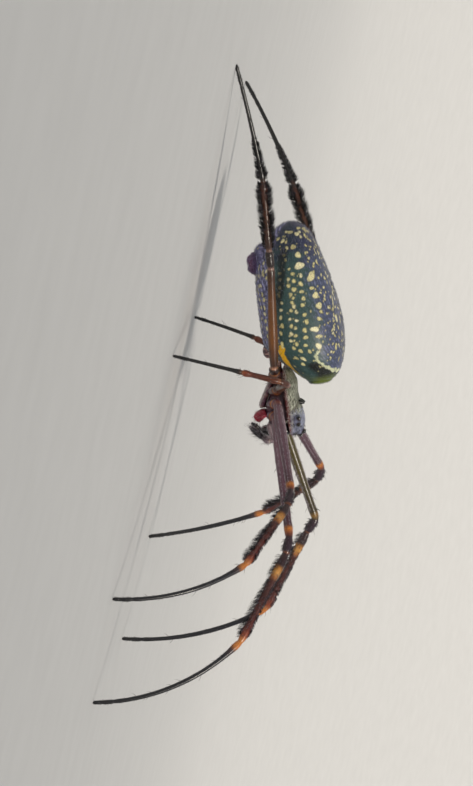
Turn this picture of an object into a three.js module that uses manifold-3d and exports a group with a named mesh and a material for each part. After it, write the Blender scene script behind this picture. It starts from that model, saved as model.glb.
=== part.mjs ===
// A golden silk orb weaver: a full-grown female spider at life size, standing on the tips of her
// eight legs, with the front pairs reaching forward, the short third pair close to the body and
// the hind pair stretched back past the abdomen.
// Millimetres. +X is the way she faces, +Y her left, +Z up. The leg tips stand on Z = 0.
import * as THREE from "three";
import { mergeVertices } from "three/addons/utils/BufferGeometryUtils.js";
import Module from "manifold-3d";

const wasm = await Module();
wasm.setup();

// Driving dimensions
const JOINT_GAP = 0.26; // clearance between two pieces that meet
const LIMB_SIDES = 12;
const BODY_TILT_DEG = 19; // the whole body is carried nose up by this much
const WAIST = new THREE.Vector3(-4.9, 0, 14.5); // where the pedicel joins carapace and abdomen

// Body, in its own frame: X forward from the waist, Z up from it
const ABDOMEN = { front: 2.75, rear: -19.3 };
const CARAPACE = { length: 8.9, rim: -0.55 };
const TRUNK = { rear: 0.5, front: 7.0 };
const CHELICERA = { length: 3.7, radius: 0.8, y: 0.97, x: 8.15, top: -0.75 };
const EYE_GAP = 0.08; // the eyes and horns sit closer on the carapace than the joints do

// Legs. Each pair has one set of lengths, and each leg its own stance.
// root: where the coxa leaves the trunk; hip: where the femur starts; both in the body's frame.
// arc is the metatarsus with the tarsus, which bow down to the floor together.
const LEGS = {
  1: { root: [5.9, 1.9, -2.55], hip: [6.1, 4.3, -2.1], femur: 16.3, patella: 2.3, tibia: 13.0, arc: 21.2, thick: 1.0 },
  2: { root: [4.5, 1.9, -2.4], hip: [4.3, 4.7, -1.7], femur: 13.6, patella: 2.3, tibia: 10.6, arc: 18.3, thick: 0.96 },
  3: { root: [3.05, 1.9, -2.1], hip: [2.3, 4.7, -1.3], femur: 6.6, patella: 1.7, tibia: 5.0, arc: 9.2, thick: 0.78 },
  4: { root: [1.65, 1.7, -1.8], hip: [-0.5, 4.3, -1.6], femur: 14.0, patella: 2.4, tibia: 9.4, arc: 15.8, thick: 0.92 },
};
// heading: degrees round from straight ahead. femur, patella, tibia: degrees above level.
// curl: degrees that the arc turns down along its length, before it is aimed at the floor.
const STANCES = {
  right: {
    1: { heading: 22.5, femur: 19, patella: 1, tibia: -14, curl: 46 },
    2: { heading: 41, femur: 19, patella: 0, tibia: -19, curl: 41 },
    3: { heading: 103, femur: 11, patella: -43, tibia: -84, curl: 4 },
    4: { heading: 163, femur: -13, patella: -17, tibia: -16, curl: 4 },
  },
  left: {
    1: { heading: 14, femur: 30, patella: -21, tibia: -14, curl: 34 },
    2: { heading: 36.5, femur: 34, patella: -6, tibia: -37, curl: 14 },
    3: { heading: 113, femur: 2, patella: -38, tibia: -58, curl: 6 },
    4: { heading: 165, femur: 8, patella: -16, tibia: -29, curl: 9 },
  },
};
// Half thickness along each segment, as [share of its length, mm on a leg of thick 1]
const GIRTHS = {
  coxa: [[0, 0.58, 0.8], [0.3, 0.68, 0.98], [0.58, 0.7, 0.84], [0.68, 0.6, 0.66], [0.82, 0.68, 0.7], [1, 0.6, 0.62]],
  femur: [[0, 0.5], [0.06, 0.58], [0.25, 0.68], [0.55, 0.62], [0.88, 0.54], [0.96, 0.58], [1, 0.5]],
  patella: [[0, 0.48], [0.3, 0.57], [0.75, 0.58], [1, 0.46]],
  tibia: [[0, 0.44], [0.08, 0.5], [0.4, 0.5], [0.8, 0.47], [0.95, 0.54], [1, 0.45]],
  arc: [[0, 0.4], [0.05, 0.44], [0.15, 0.37], [0.5, 0.32], [0.8, 0.3], [0.86, 0.31], [0.9, 0.28], [1, 0.25]],
};
const FOOT_HALF = 0.26; // half thickness of a leg at the floor, on every pair
// The brush of bristles along a tibia, as one smooth form out to the bristles' tips. start and end
// are shares of the tibia, half and high how far it stands out to the side and up and down, and
// drop how far its middle hangs below the tibia's. The hind arc's own brush is in its girth.
const BRUSHES = {
  1: { start: 0.28, end: 0.96, half: 0.9, high: 1.02, drop: 0.2 },
  2: { start: 0.3, end: 0.96, half: 0.8, high: 0.9, drop: 0.16 },
  4: { start: 0.02, end: 0.97, half: 1.1, high: 1.15, drop: 0 },
};
const BRUSH_GIRTH = [[0, 0.3], [0.12, 0.8], [0.35, 1], [0.75, 1], [0.93, 0.8], [1, 0.32]];
const HIND_ARC = [[0, 0.4], [0.03, 0.52], [0.07, 0.88], [0.18, 0.82], [0.33, 0.48], [0.42, 0.35], [0.8, 0.3], [0.86, 0.31],
  [0.9, 0.28], [1, 0.25]];

const rad = THREE.MathUtils.degToRad;
const vec = (x, y, z) => new THREE.Vector3(x, y, z);
const along = (a, b, t) => a.clone().lerp(b, t);

// A number read off a table of [place, value] pairs, smooth between them
function read(table, place) {
  const i = Math.max(1, table.findIndex(([at]) => at >= place));
  const last = table.length - 1;
  const n = table[i][0] >= place ? i : last;
  const [a, va] = table[n - 1];
  const [b, vb] = table[n];
  const t = THREE.MathUtils.clamp((place - a) / (b - a), 0, 1);
  return va + (vb - va) * (t * t * (3 - 2 * t));
}

// Rings of points joined into one closed skin, its two ends closed by flat fans
function skin(rings) {
  const sides = rings[0].length;
  const points = rings.flat();
  const first = points.length;
  for (const ring of [rings[0], rings.at(-1)]) {
    const middle = ring.reduce((sum, p) => sum.add(p), vec(0, 0, 0)).divideScalar(sides);
    points.push(middle);
  }
  const faces = [];
  const top = (rings.length - 1) * sides;
  for (let s = 0; s < sides; s++) {
    const next = (s + 1) % sides;
    for (let r = 0; r < top; r += sides) {
      faces.push(r + s, r + next, r + sides + next, r + s, r + sides + next, r + sides + s);
    }
    faces.push(first, next, s, first + 1, top + s, top + next);
  }
  const geometry = new THREE.BufferGeometry();
  const flat = points.flatMap((p) => [p.x, p.y, p.z]);
  geometry.setAttribute("position", new THREE.Float32BufferAttribute(flat, 3));
  geometry.setIndex(faces);
  return geometry;
}

function solid(geometry) {
  const bare = geometry.index ? geometry.toNonIndexed() : geometry.clone();
  bare.deleteAttribute("normal");
  bare.deleteAttribute("uv");
  const merged = mergeVertices(bare, 1e-4);
  const made = new wasm.Manifold(
    new wasm.Mesh({
      numProp: 3,
      vertProperties: merged.attributes.position.array,
      triVerts: new Uint32Array(merged.index.array),
    }),
  );
  if (made.volume() >= 0) return made;
  const index = merged.index.array;
  for (let i = 0; i < index.length; i += 3) [index[i + 1], index[i + 2]] = [index[i + 2], index[i + 1]];
  return solid(merged);
}

// The largest closed surface of a solid, as a geometry
function geometryOf(made) {
  const whole = made.decompose().sort((a, b) => b.volume() - a.volume())[0];
  const mesh = whole.getMesh();
  const flat = [];
  for (let i = 0; i < mesh.numVert; i++) {
    flat.push(...mesh.vertProperties.subarray(i * mesh.numProp, i * mesh.numProp + 3));
  }
  const geometry = new THREE.BufferGeometry();
  geometry.setAttribute("position", new THREE.Float32BufferAttribute(flat, 3));
  geometry.setIndex(Array.from(mesh.triVerts));
  return geometry;
}

const joined = (pieces) => pieces.reduce((sum, piece) => sum.add(piece));

// One ring of an upright section at x: bulge above 2 squares its corners
function sectionRing(x, low, high, half, sides, bulge = 2, middle = (low + high) / 2) {
  return Array.from({ length: sides }, (_, s) => {
    const a = (s / sides) * Math.PI * 2;
    const c = Math.sign(Math.cos(a)) * Math.abs(Math.cos(a)) ** (2 / bulge);
    const u = Math.sign(Math.sin(a)) * Math.abs(Math.sin(a)) ** (2 / bulge);
    return vec(x, half * c, middle + u * (u > 0 ? high - middle : middle - low));
  });
}

// Abdomen: a long egg, blunt and high in front, drawn out over the spinnerets behind
const ABDOMEN_TOP = [[0, 3.9], [0.03, 5.9], [0.06, 6.6], [0.12, 7.35], [0.22, 7.95], [0.34, 8.1], [0.5, 7.7],
  [0.64, 7.05], [0.76, 6.35], [0.87, 5.5], [0.94, 4.75], [0.98, 3.8], [1, 2.6]];
const ABDOMEN_UNDER = [[0, 3.9], [0.03, 2.5], [0.06, 1.7], [0.12, 0.3], [0.2, -1.7], [0.25, -2.7], [0.34, -3.0],
  [0.5, -3.1], [0.64, -3.05], [0.76, -2.7], [0.87, -1.4], [0.94, -0.1], [0.98, 0.9], [1, 2.3]];
const ABDOMEN_HALF = [[0, 0.05], [0.03, 1.9], [0.06, 2.7], [0.12, 3.7], [0.25, 4.8], [0.42, 5.3], [0.6, 5.15],
  [0.76, 4.6], [0.88, 3.6], [0.95, 2.45], [0.985, 1.3], [1, 0.1]];

function splineOf(table) {
  const curve = new THREE.SplineCurve(table.map(([at, value]) => new THREE.Vector2(at, value)));
  return (place) => {
    let low = 0;
    let high = 1;
    for (let i = 0; i < 30; i++) {
      const middle = (low + high) / 2;
      if (curve.getPoint(middle).x < place) low = middle;
      else high = middle;
    }
    return curve.getPoint((low + high) / 2).y;
  };
}

function abdomen(grow = 0) {
  const [top, under, half] = [ABDOMEN_TOP, ABDOMEN_UNDER, ABDOMEN_HALF].map(splineOf);
  const steps = 30;
  const rings = [];
  for (let i = 0; i <= steps; i++) {
    const share = (1 - Math.cos((i / steps) * Math.PI)) / 2;
    const x = THREE.MathUtils.lerp(ABDOMEN.front + grow, ABDOMEN.rear - grow, share);
    const wide = Math.max(0.06, half(share)) + grow;
    const low = Math.min(under(share), top(share) - 0.1) - grow;
    rings.push(sectionRing(x, low, top(share) + grow, wide, 40, 2.1));
  }
  const plate = solid(new THREE.SphereGeometry(1, 16, 10).scale(1.0 + grow, 1.15 + grow, 0.75 + grow)
    .translate(-2.35, 0, -2.45)); // epigyne, a low boss ahead of the book lungs
  const mound = solid(new THREE.SphereGeometry(1, 20, 12).scale(2.9 + grow, 2.2 + grow, 1.7 + grow)
    .translate(-14, 0, -1.4)); // carries the spinnerets
  return joined([solid(skin(rings)), plate, mound]);
}

// Carapace: a broad thoracic shield that narrows to a raised, blunt head
const CARAPACE_HALF = [[0, 0.7], [0.05, 1.5], [0.2, 2.9], [0.38, 3.4], [0.55, 3.1], [0.66, 2.55], [0.82, 2.4],
  [0.94, 2.1], [1, 1.5]];
const CARAPACE_TOP = [[0, 0.1], [0.05, 0.45], [0.2, 1.0], [0.4, 1.0], [0.55, 1.2], [0.7, 1.45], [0.85, 1.5],
  [0.94, 1.05], [1, 0.35]];
const CARAPACE_RIM = [[0, -0.55], [0.05, -0.8], [0.2, -0.95], [0.5, -1.0], [0.7, -0.95], [0.9, -0.75], [1, -0.45]];

// Trunk: the deep middle of the body under the carapace, between the coxae
const TRUNK_HALF = [[0, 0.7], [0.12, 1.25], [0.3, 1.75], [0.45, 1.9], [0.65, 2], [0.85, 1.8], [1, 1.2]];
const TRUNK_UNDER = [[0, -1.5], [0.12, -1.7], [0.3, -2.25], [0.45, -2.8], [0.65, -3.4], [0.78, -3.6], [1, -3.2]];
const underTrunk = (x) => read(TRUNK_UNDER, (x - TRUNK.rear) / (TRUNK.front - TRUNK.rear));

function cephalothorax(grow = 0) {
  const rings = [];
  const steps = 20;
  for (let i = 0; i <= steps; i++) {
    const share = (1 - Math.cos((i / steps) * Math.PI)) / 2;
    const x = THREE.MathUtils.lerp(-grow, CARAPACE.length + grow, share);
    const [half, top, low] = [CARAPACE_HALF, CARAPACE_TOP, CARAPACE_RIM].map((t) => read(t, share));
    rings.push(sectionRing(x, low - grow, top + grow, half + grow, 32, 2.2, CARAPACE.rim));
  }
  const trunk = [];
  for (const [share, half] of TRUNK_HALF) {
    const x = THREE.MathUtils.lerp(TRUNK.rear - grow, TRUNK.front + grow, share);
    trunk.push(sectionRing(x, read(TRUNK_UNDER, share) - grow, 0, half + grow, 20, 3));
  }
  return solid(skin(rings)).add(solid(skin(trunk)));
}

// A limb segment from a to b. Its end faces lie in the planes of the joints it meets.
// girth is a list of [share, half width, half height].
function segment(a, b, girth, side, faceA, faceB, sides = LIMB_SIDES) {
  const way = b.clone().sub(a).normalize();
  const across = side.clone().addScaledVector(way, -side.dot(way)).normalize();
  const up = way.clone().cross(across).normalize();
  const from = a.clone().addScaledVector(way, JOINT_GAP / 2);
  const to = b.clone().addScaledVector(way, -JOINT_GAP / 2);
  return skin(girth.map(([share, half, high = half], n) => {
    const face = n === 0 ? faceA : n === girth.length - 1 ? faceB : way;
    return ringAt(along(from, to, share), way, across, up, half, high, face, sides);
  }));
}

function ringAt(centre, way, across, up, half, high, face, sides) {
  return Array.from({ length: sides }, (_, s) => {
    const a = (s / sides) * Math.PI * 2;
    const out = across.clone().multiplyScalar(Math.cos(a) * half).addScaledVector(up, Math.sin(a) * high);
    return centre.clone().add(out).addScaledVector(way, -out.dot(face) / way.dot(face));
  });
}

// A bent limb through several points, such as a palp, a fang or the arc of a foot
function bentLimb(points, girth, side, faceA, faceB, sides = LIMB_SIDES) {
  const curve = new THREE.CatmullRomCurve3(points);
  return skin(girth.map(([share, half, high = half], n) => {
    const centre = curve.getPointAt(share);
    const way = curve.getTangentAt(share);
    const across = side.clone().addScaledVector(way, -side.dot(way)).normalize();
    const up = way.clone().cross(across).normalize();
    const face = n === 0 ? faceA ?? way : n === girth.length - 1 ? faceB ?? way : way;
    return ringAt(centre, way, across, up, half, high, face, sides);
  }));
}

const thickened = (girth, thick) => girth.map(([share, half, high = half]) => [share, half * thick, high * thick]);
const girthOf = (name, thick) => thickened(GIRTHS[name], thick);

// The body's frame inside the part's frame
const bodyFrame = new THREE.Matrix4()
  .makeTranslation(WAIST)
  .multiply(new THREE.Matrix4().makeRotationY(-rad(BODY_TILT_DEG)));
const inBody = (x, y, z) => vec(x, y, z).applyMatrix4(bodyFrame);
const placed = (made) => made.transform(bodyFrame.elements);

// The joints of one leg, from hip to floor, all in one upright plane
function legJoints(pair, sign, stance) {
  const size = LEGS[pair];
  const heading = rad(stance.heading);
  const out = vec(Math.cos(heading), sign * Math.sin(heading), 0);
  const step = (from, length, pitch) =>
    from.clone().addScaledVector(out, length * Math.cos(rad(pitch))).add(vec(0, 0, length * Math.sin(rad(pitch))));
  const hip = inBody(size.hip[0], sign * size.hip[1], size.hip[2]);
  const knee = step(hip, size.femur, stance.femur);
  const shin = step(knee, size.patella, stance.patella);
  const ankle = step(shin, size.tibia, stance.tibia);
  const bends = 10;
  const arcFrom = (first) => {
    const points = [ankle];
    for (let i = 0; i < bends; i++) {
      points.push(step(points.at(-1), size.arc / bends, first - (stance.curl * (i + 0.5)) / bends));
    }
    return points;
  };
  let steep = -110 + stance.curl;
  let flat = 0;
  for (let i = 0; i < 40; i++) {
    const middle = (steep + flat) / 2;
    if (arcFrom(middle).at(-1).z > 0) flat = middle;
    else steep = middle;
  }
  const arc = arcFrom(flat);
  arc.at(-1).z = 0;
  return { root: inBody(size.root[0], sign * size.root[1], size.root[2]), hip, knee, shin, ankle, arc, out };
}

const bisector = (a, b, c) => {
  const before = b.clone().sub(a).normalize();
  return before.add(c.clone().sub(b).normalize()).normalize();
};

function brush(size, from, to, side) {
  const down = side.clone().cross(to.clone().sub(from)).normalize();
  const points = [[0, 0], [0.3, 1], [0.7, 1], [1, 0]].map(([share, sag]) =>
    along(from, to, size.start + (size.end - size.start) * share).addScaledVector(down, size.drop * sag));
  const girth = BRUSH_GIRTH.map(([share, full]) => [share, size.half * full, size.high * full]);
  return solid(bentLimb(points, girth, side, null, null));
}

function legPieces(pair, sign, stance, clear) {
  const { root, hip, knee, shin, ankle, arc, out } = legJoints(pair, sign, stance);
  const { thick } = LEGS[pair];
  const side = vec(0, 0, 1).cross(out).normalize();
  const faces = {
    hip: bisector(root, hip, knee),
    knee: bisector(hip, knee, shin),
    shin: bisector(knee, shin, ankle),
    ankle: bisector(shin, ankle, arc[2]),
  };
  const coxaWay = hip.clone().sub(root).normalize();
  const coxa = solid(segment(root, hip, girthOf("coxa", Math.sqrt(thick)), vec(1, 0, 0), coxaWay, faces.hip));
  const lead = arc[1].clone().sub(arc[0]).normalize();
  const start = arc[0].clone().addScaledVector(lead, JOINT_GAP / 2);
  const arcGirth = pair === 4 ? thickened(HIND_ARC, thick) : girthOf("arc", thick);
  const foot = arcGirth.map(([share, half]) => [share, Math.max(half, FOOT_HALF)]);
  const shaft = solid(segment(shin, ankle, girthOf("tibia", thick), side, faces.shin, faces.ankle));
  return {
    coxa: coxa.subtract(clear),
    femur: solid(segment(hip, knee, girthOf("femur", thick), side, faces.hip, faces.knee)),
    patella: solid(segment(knee, shin, girthOf("patella", thick), side, faces.knee, faces.shin)),
    tibia: BRUSHES[pair] ? shaft.add(brush(BRUSHES[pair], shin, ankle, side)) : shaft,
    metatarsus_tarsus: solid(bentLimb([start, ...arc.slice(1)], foot, side, faces.ankle, vec(0, 0, -1))),
  };
}

// Everything else that grows on the body, each in the body's frame and mirrored by sign
function chelicera(sign) {
  const { x, y, top, length, radius } = CHELICERA;
  const girth = [[0, 0.7, 0.75], [0.12, 0.88, 0.92], [0.35, 0.92, 1], [0.65, 0.85, 0.85], [0.9, 0.68, 0.62], [1, 0.5, 0.45]]
    .map(([share, half, high]) => [share, half * radius, high * radius]);
  const points = [vec(x, sign * y, top), vec(x + 0.15, sign * y, top - length * 0.4), vec(x - 0.25, sign * y, top - length)];
  return solid(bentLimb(points, girth, vec(0, 1, 0), null, null, 16));
}

function fang(sign) {
  const { x, y, top, length } = CHELICERA;
  const z = top - length - JOINT_GAP - 0.22;
  const points = [vec(x - 0.2, sign * (y + 0.3), z), vec(x - 0.5, sign * (y - 0.3), z - 0.25), vec(x - 1.1, sign * 0.4, z + 0.05)];
  return solid(bentLimb(points, [[0, 0.28], [0.3, 0.27], [0.7, 0.2], [1, 0.08]], vec(0, 0, 1), null, null, 8));
}

function maxilla(sign) {
  const points = [vec(5.65, sign * 0.98, -3.4), vec(5.9, sign * 1.0, -4.15), vec(6.5, sign * 0.92, -5.0)];
  return solid(bentLimb(points, [[0, 0.42, 0.5], [0.35, 0.55, 0.55], [0.75, 0.66, 0.6], [0.95, 0.45, 0.42], [1, 0.25, 0.25]],
    vec(0, 1, 0), null, null, 12));
}

function palp(sign) {
  const points = [vec(7.0, sign * 2.1, -3.3), vec(8.2, sign * 2.45, -2.95), vec(9.1, sign * 2.55, -2.8),
    vec(9.3, sign * 2.55, -3.35), vec(8.55, sign * 2.45, -4.45), vec(7.1, sign * 2.25, -5.8)];
  const girth = [[0, 0.3], [0.06, 0.38], [0.18, 0.4], [0.3, 0.36], [0.33, 0.38], [0.41, 0.4], [0.46, 0.36], [0.55, 0.38],
    [0.63, 0.35], [0.7, 0.36], [0.9, 0.31], [1, 0.2]];
  return solid(bentLimb(points, girth, vec(0, 1, 0), null, null, 10));
}

function horn(sign) {
  const points = [vec(4.65, sign * 0.95, 0.8), vec(4.75, sign * 0.95, 1.3), vec(4.95, sign * 0.95, 1.8)];
  return solid(bentLimb(points, [[0, 0.36], [0.5, 0.3], [0.85, 0.16], [1, 0.06]], vec(0, 1, 0), null, null, 8));
}

// A low mound with round eyes set in it. eyes is a list of [x, y, z, radius].
function eyeGroup(mound, size, eyes) {
  const ball = (x, y, z, rx, ry, rz, sides) =>
    solid(new THREE.SphereGeometry(1, sides, Math.round(sides / 2)).scale(rx, ry, rz).translate(x, y, z));
  return joined([ball(...mound, ...size, 14), ...eyes.map(([x, y, z, r]) => ball(x, y, z, r, r, r, 10))]);
}

// Sternum: a heart-shaped plate under the trunk, following it forward and down
function sternum() {
  const rings = [];
  for (const [share, half] of [[0, 0.25], [0.12, 0.8], [0.35, 1.35], [0.65, 1.5], [0.88, 1.25], [1, 0.7]]) {
    const x = THREE.MathUtils.lerp(1.5, 5.0, share);
    const top = underTrunk(x) - JOINT_GAP - 0.04;
    rings.push(sectionRing(x, top - 0.5, top, half, 16, 2.6));
  }
  return solid(skin(rings));
}

function labium() {
  const points = [vec(5.35, 0, -3.75), vec(5.5, 0, -4.2), vec(5.85, 0, -4.65)];
  return solid(bentLimb(points, [[0, 0.3, 0.2], [0.4, 0.32, 0.25], [0.8, 0.27, 0.25], [1, 0.16, 0.16]], vec(0, 1, 0), null, null, 10));
}

// Four spinnerets and the tubercle behind them, fused on one low cone that caps the belly's mound
function spinnerets() {
  const cone = solid(new THREE.CylinderGeometry(1.1, 1.75, 1.1, 18).rotateX(-Math.PI / 2).translate(-14.15, 0, -3.0));
  const nipple = (x, y, lean) => {
    const tip = vec(x + lean, y * 0.75, -3.85);
    return solid(bentLimb([vec(x, y, -2.5), vec(x + lean * 0.4, y * 0.95, -3.2), tip],
      [[0, 0.46], [0.5, 0.44], [0.85, 0.34], [1, 0.16]], vec(0, 1, 0), null, null, 8));
  };
  return joined([cone, nipple(-13.7, 0.5, 0.1), nipple(-13.7, -0.5, 0.1), nipple(-14.75, 0.52, -0.3),
    nipple(-14.75, -0.52, -0.3), nipple(-15.35, 0, -0.3)]);
}

function pedicel() {
  const girth = [[0, 0.75], [0.35, 0.55], [0.65, 0.55], [1, 0.7]];
  return solid(bentLimb([vec(-2.6, 0, -0.9), vec(-0.9, 0, -1.25), vec(1.4, 0, -1.3)], girth, vec(0, 1, 0), null, null, 14));
}

const COLOURS = {
  abdomen: 0x2f3d44, carapace: 0x8d8f82, limb: 0x5a2f24, dark: 0x17130f, red: 0x9c1f2c, joint: 0xd98a2b,
  eye: 0x0a0a0c, sternum: 0x4b2f45,
};

function material(name, roughness) {
  return new THREE.MeshStandardMaterial({ color: COLOURS[name], roughness, metalness: 0 });
}

const spider = new THREE.Group();

function add(name, made, look, roughness = 0.5) {
  const mesh = new THREE.Mesh(geometryOf(made), material(look, roughness));
  mesh.name = name;
  spider.add(mesh);
}

const belly = abdomen();
const nearBelly = placed(abdomen(JOINT_GAP));
const prosoma = cephalothorax();
const nearProsoma = placed(cephalothorax(JOINT_GAP));
const closeProsoma = placed(cephalothorax(EYE_GAP));

add("abdomen", placed(belly), "abdomen", 0.45);
add("cephalothorax", placed(prosoma), "carapace", 0.7);
add("pedicel", placed(pedicel()).subtract(nearBelly).subtract(nearProsoma), "limb");
add("spinnerets", placed(spinnerets()).subtract(nearBelly), "sternum");
add("sternum", placed(sternum()), "sternum");
add("labium", placed(labium()), "red");
add("eyes_median", placed(eyeGroup([8.55, 0, 0.7], [0.72, 0.85, 0.62],
  [[9.1, 0.34, 0.72, 0.26], [9.1, -0.34, 0.72, 0.26], [8.7, 0.45, 1.2, 0.27], [8.7, -0.45, 1.2, 0.27]]))
  .subtract(closeProsoma), "eye", 0.15);

for (const [sideName, sign] of [["right", -1], ["left", 1]]) {
  add(`chelicera_${sideName}`, placed(chelicera(sign)).subtract(nearProsoma), "dark", 0.2);
  add(`fang_${sideName}`, placed(fang(sign)), "dark", 0.2);
  add(`maxilla_${sideName}`, placed(maxilla(sign)).subtract(nearProsoma), "red", 0.35);
  add(`palp_${sideName}`, placed(palp(sign)).subtract(nearProsoma), "limb");
  add(`horn_${sideName}`, placed(horn(sign)).subtract(closeProsoma), "eye", 0.4);
  add(`eyes_lateral_${sideName}`, placed(eyeGroup([7.15, sign * 2.0, 0.6], [0.75, 0.62, 0.55],
    [[7.55, sign * 2.45, 0.72, 0.26], [6.75, sign * 2.42, 0.85, 0.26]])).subtract(closeProsoma), "eye", 0.15);
  for (const pair of [1, 2, 3, 4]) {
    const pieces = legPieces(pair, sign, STANCES[sideName][pair], nearProsoma);
    for (const [name, made] of Object.entries(pieces)) {
      add(`leg${pair}_${sideName}_${name}`, made, name === "metatarsus_tarsus" ? "dark" : "limb");
    }
  }
}

// The origin lies on the floor, under the middle of the whole spider
const extent = new THREE.Box3().setFromObject(spider);
spider.position.set(-(extent.min.x + extent.max.x) / 2, -(extent.min.y + extent.max.y) / 2, 0);

export default spider;
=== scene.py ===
"""A full-grown female golden silk orb weaver, life size, as a museum model standing on its leg tips.

Lengths below are in millimetres until a mesh is made. +X is the way the spider faces, +Y its left,
+Z up. The body is drawn in a frame of its own, X forward and Z up from the waist, and then tilted.
"""

import math

import bpy
import numpy as np
from mathutils import Matrix, Vector

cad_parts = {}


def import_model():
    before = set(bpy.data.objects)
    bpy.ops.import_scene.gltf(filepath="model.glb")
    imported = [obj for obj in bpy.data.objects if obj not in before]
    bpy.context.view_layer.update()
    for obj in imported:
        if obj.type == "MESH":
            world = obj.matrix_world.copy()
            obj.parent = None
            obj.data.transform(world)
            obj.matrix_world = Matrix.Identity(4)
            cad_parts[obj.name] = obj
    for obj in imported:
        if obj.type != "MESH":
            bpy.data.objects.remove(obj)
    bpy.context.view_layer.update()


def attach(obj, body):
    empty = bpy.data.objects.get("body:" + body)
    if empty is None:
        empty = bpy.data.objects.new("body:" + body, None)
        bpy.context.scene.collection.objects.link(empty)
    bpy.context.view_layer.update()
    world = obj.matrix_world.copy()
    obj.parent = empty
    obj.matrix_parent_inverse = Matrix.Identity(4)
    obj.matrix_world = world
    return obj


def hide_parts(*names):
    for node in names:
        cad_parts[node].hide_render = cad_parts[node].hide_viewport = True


MM = 0.001
WAIST = np.array([-3.856, 1.806, 14.5])  # where the pedicel joins carapace and abdomen
BODY_TILT = math.radians(19)  # nose up
ABDOMEN_FRONT, ABDOMEN_REAR = 2.72, -19.26
ABDOMEN_GIRTH = 4.2  # mean radius, to turn degrees round it into millimetres
ABDOMEN_DOWN, CARAPACE_DOWN = 9500, 5200  # hairs
CARAPACE_LENGTH = 8.85
CARAPACE_RIM = -0.55
TRUNK_REAR, TRUNK_FRONT = 0.5, 7.0
SIDES = {"right": -1, "left": 1}

# Legs: where the coxa leaves the trunk and where the femur starts, in the body's frame, then the
# lengths of femur, patella, tibia and of metatarsus with tarsus, and how stout the leg is
LEGS = {
    1: ((5.9, 1.9, -2.55), (6.1, 4.3, -2.1), 16.3, 2.3, 13.0, 21.2, 1.0),
    2: ((4.5, 1.9, -2.4), (4.3, 4.7, -1.7), 13.6, 2.3, 10.6, 18.3, 0.96),
    3: ((3.05, 1.9, -2.1), (2.3, 4.7, -1.3), 6.6, 1.7, 5.0, 9.2, 0.78),
    4: ((1.65, 1.7, -1.8), (-0.5, 4.3, -1.6), 14.0, 2.4, 9.4, 15.8, 0.92),
}
# Stances: degrees round from straight ahead, then femur, patella and tibia above level, then the
# degrees by which metatarsus and tarsus bow down along their length
STANCES = {
    "right": {1: (22.5, 19, 1, -14, 46), 2: (41, 19, 0, -19, 41),
              3: (103, 11, -43, -84, 4), 4: (163, -13, -17, -16, 4)},
    "left": {1: (14, 30, -21, -14, 34), 2: (36.5, 34, -6, -37, 14),
             3: (113, 2, -38, -58, 6), 4: (165, 8, -16, -29, 9)},
}
TARSUS = {1: 2.8, 2: 2.6, 3: 2.3, 4: 2.9}
COXA_SHARE = 0.68  # of the way from trunk to femur; the trochanter is the rest
FLOOR_CLEARANCE = 0.01  # between the leg ends with their hairs and the floor
GRAIN_LOW, GRAIN_HIGH = 0.3, 0.7  # nearly all of a noise texture lies between these


def linear(hex_colour):
    """An sRGB hex colour as three linear numbers."""
    srgb = np.array([int(hex_colour[i:i + 2], 16) / 255 for i in (1, 3, 5)])
    return np.where(srgb <= 0.04045, srgb / 12.92, ((srgb + 0.055) / 1.055) ** 2.4)


def smooth(value, low, high):
    """0 up to low and 1 from high on, with a soft rise between."""
    t = np.clip((value - low) / (high - low), 0, 1)
    return t * t * (3 - 2 * t)


def near(value, centre, width, power=2):
    """1 at the centre, fading to 0 about two widths away. A higher power has a flatter top."""
    return np.exp(-((value - centre) / width) ** power)


def blend(base, colour, share):
    """A colour laid over another, as thickly as share says at each point."""
    colour = linear(colour) if isinstance(colour, str) else colour
    return base + (colour - base) * np.asarray(share)[..., None]


def unit(vectors):
    """Vectors at length 1."""
    return vectors / np.maximum(np.linalg.norm(vectors, axis=-1, keepdims=True), 1e-12)


def spline(table, place):
    """A smooth curve through a table of rows (place, value, ...), read at each place."""
    table = np.array(table, float)
    at, values = table[:, 0], table[:, 1:]
    slopes = np.gradient(values, at, axis=0)
    i = np.clip(np.searchsorted(at, place) - 1, 0, len(at) - 2)
    step = (at[i + 1] - at[i])[..., None]
    t = np.clip((np.asarray(place) - at[i])[..., None] / step, 0, 1)
    a, b = values[i], values[i + 1]
    curve = (a * (1 + 2 * t) * (1 - t) ** 2 + b * t * t * (3 - 2 * t)
             + slopes[i] * step * t * (1 - t) ** 2 - slopes[i + 1] * step * t * t * (1 - t))
    return curve[..., 0] if values.shape[1] == 1 else curve


def from_body(points):
    """Body frame to part frame."""
    c, s = math.cos(BODY_TILT), math.sin(BODY_TILT)
    x, y, z = points[..., 0], points[..., 1], points[..., 2]
    return np.stack([x * c - z * s, y, x * s + z * c], -1) + WAIST


# Materials. Every skin and coat carries its markings as the mesh attribute "hue".


def add_node(tree, kind, settings=None, inputs=None):
    """A shader node with its settings, and its inputs set to a value or linked to a socket."""
    made = tree.nodes.new(kind)
    for name, value in (settings or {}).items():
        setattr(made, name, value)
    for name, value in (inputs or {}).items():
        if isinstance(value, bpy.types.NodeSocket):
            tree.links.new(value, made.inputs[name])
        else:
            made.inputs[name].default_value = value
    return made


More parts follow.
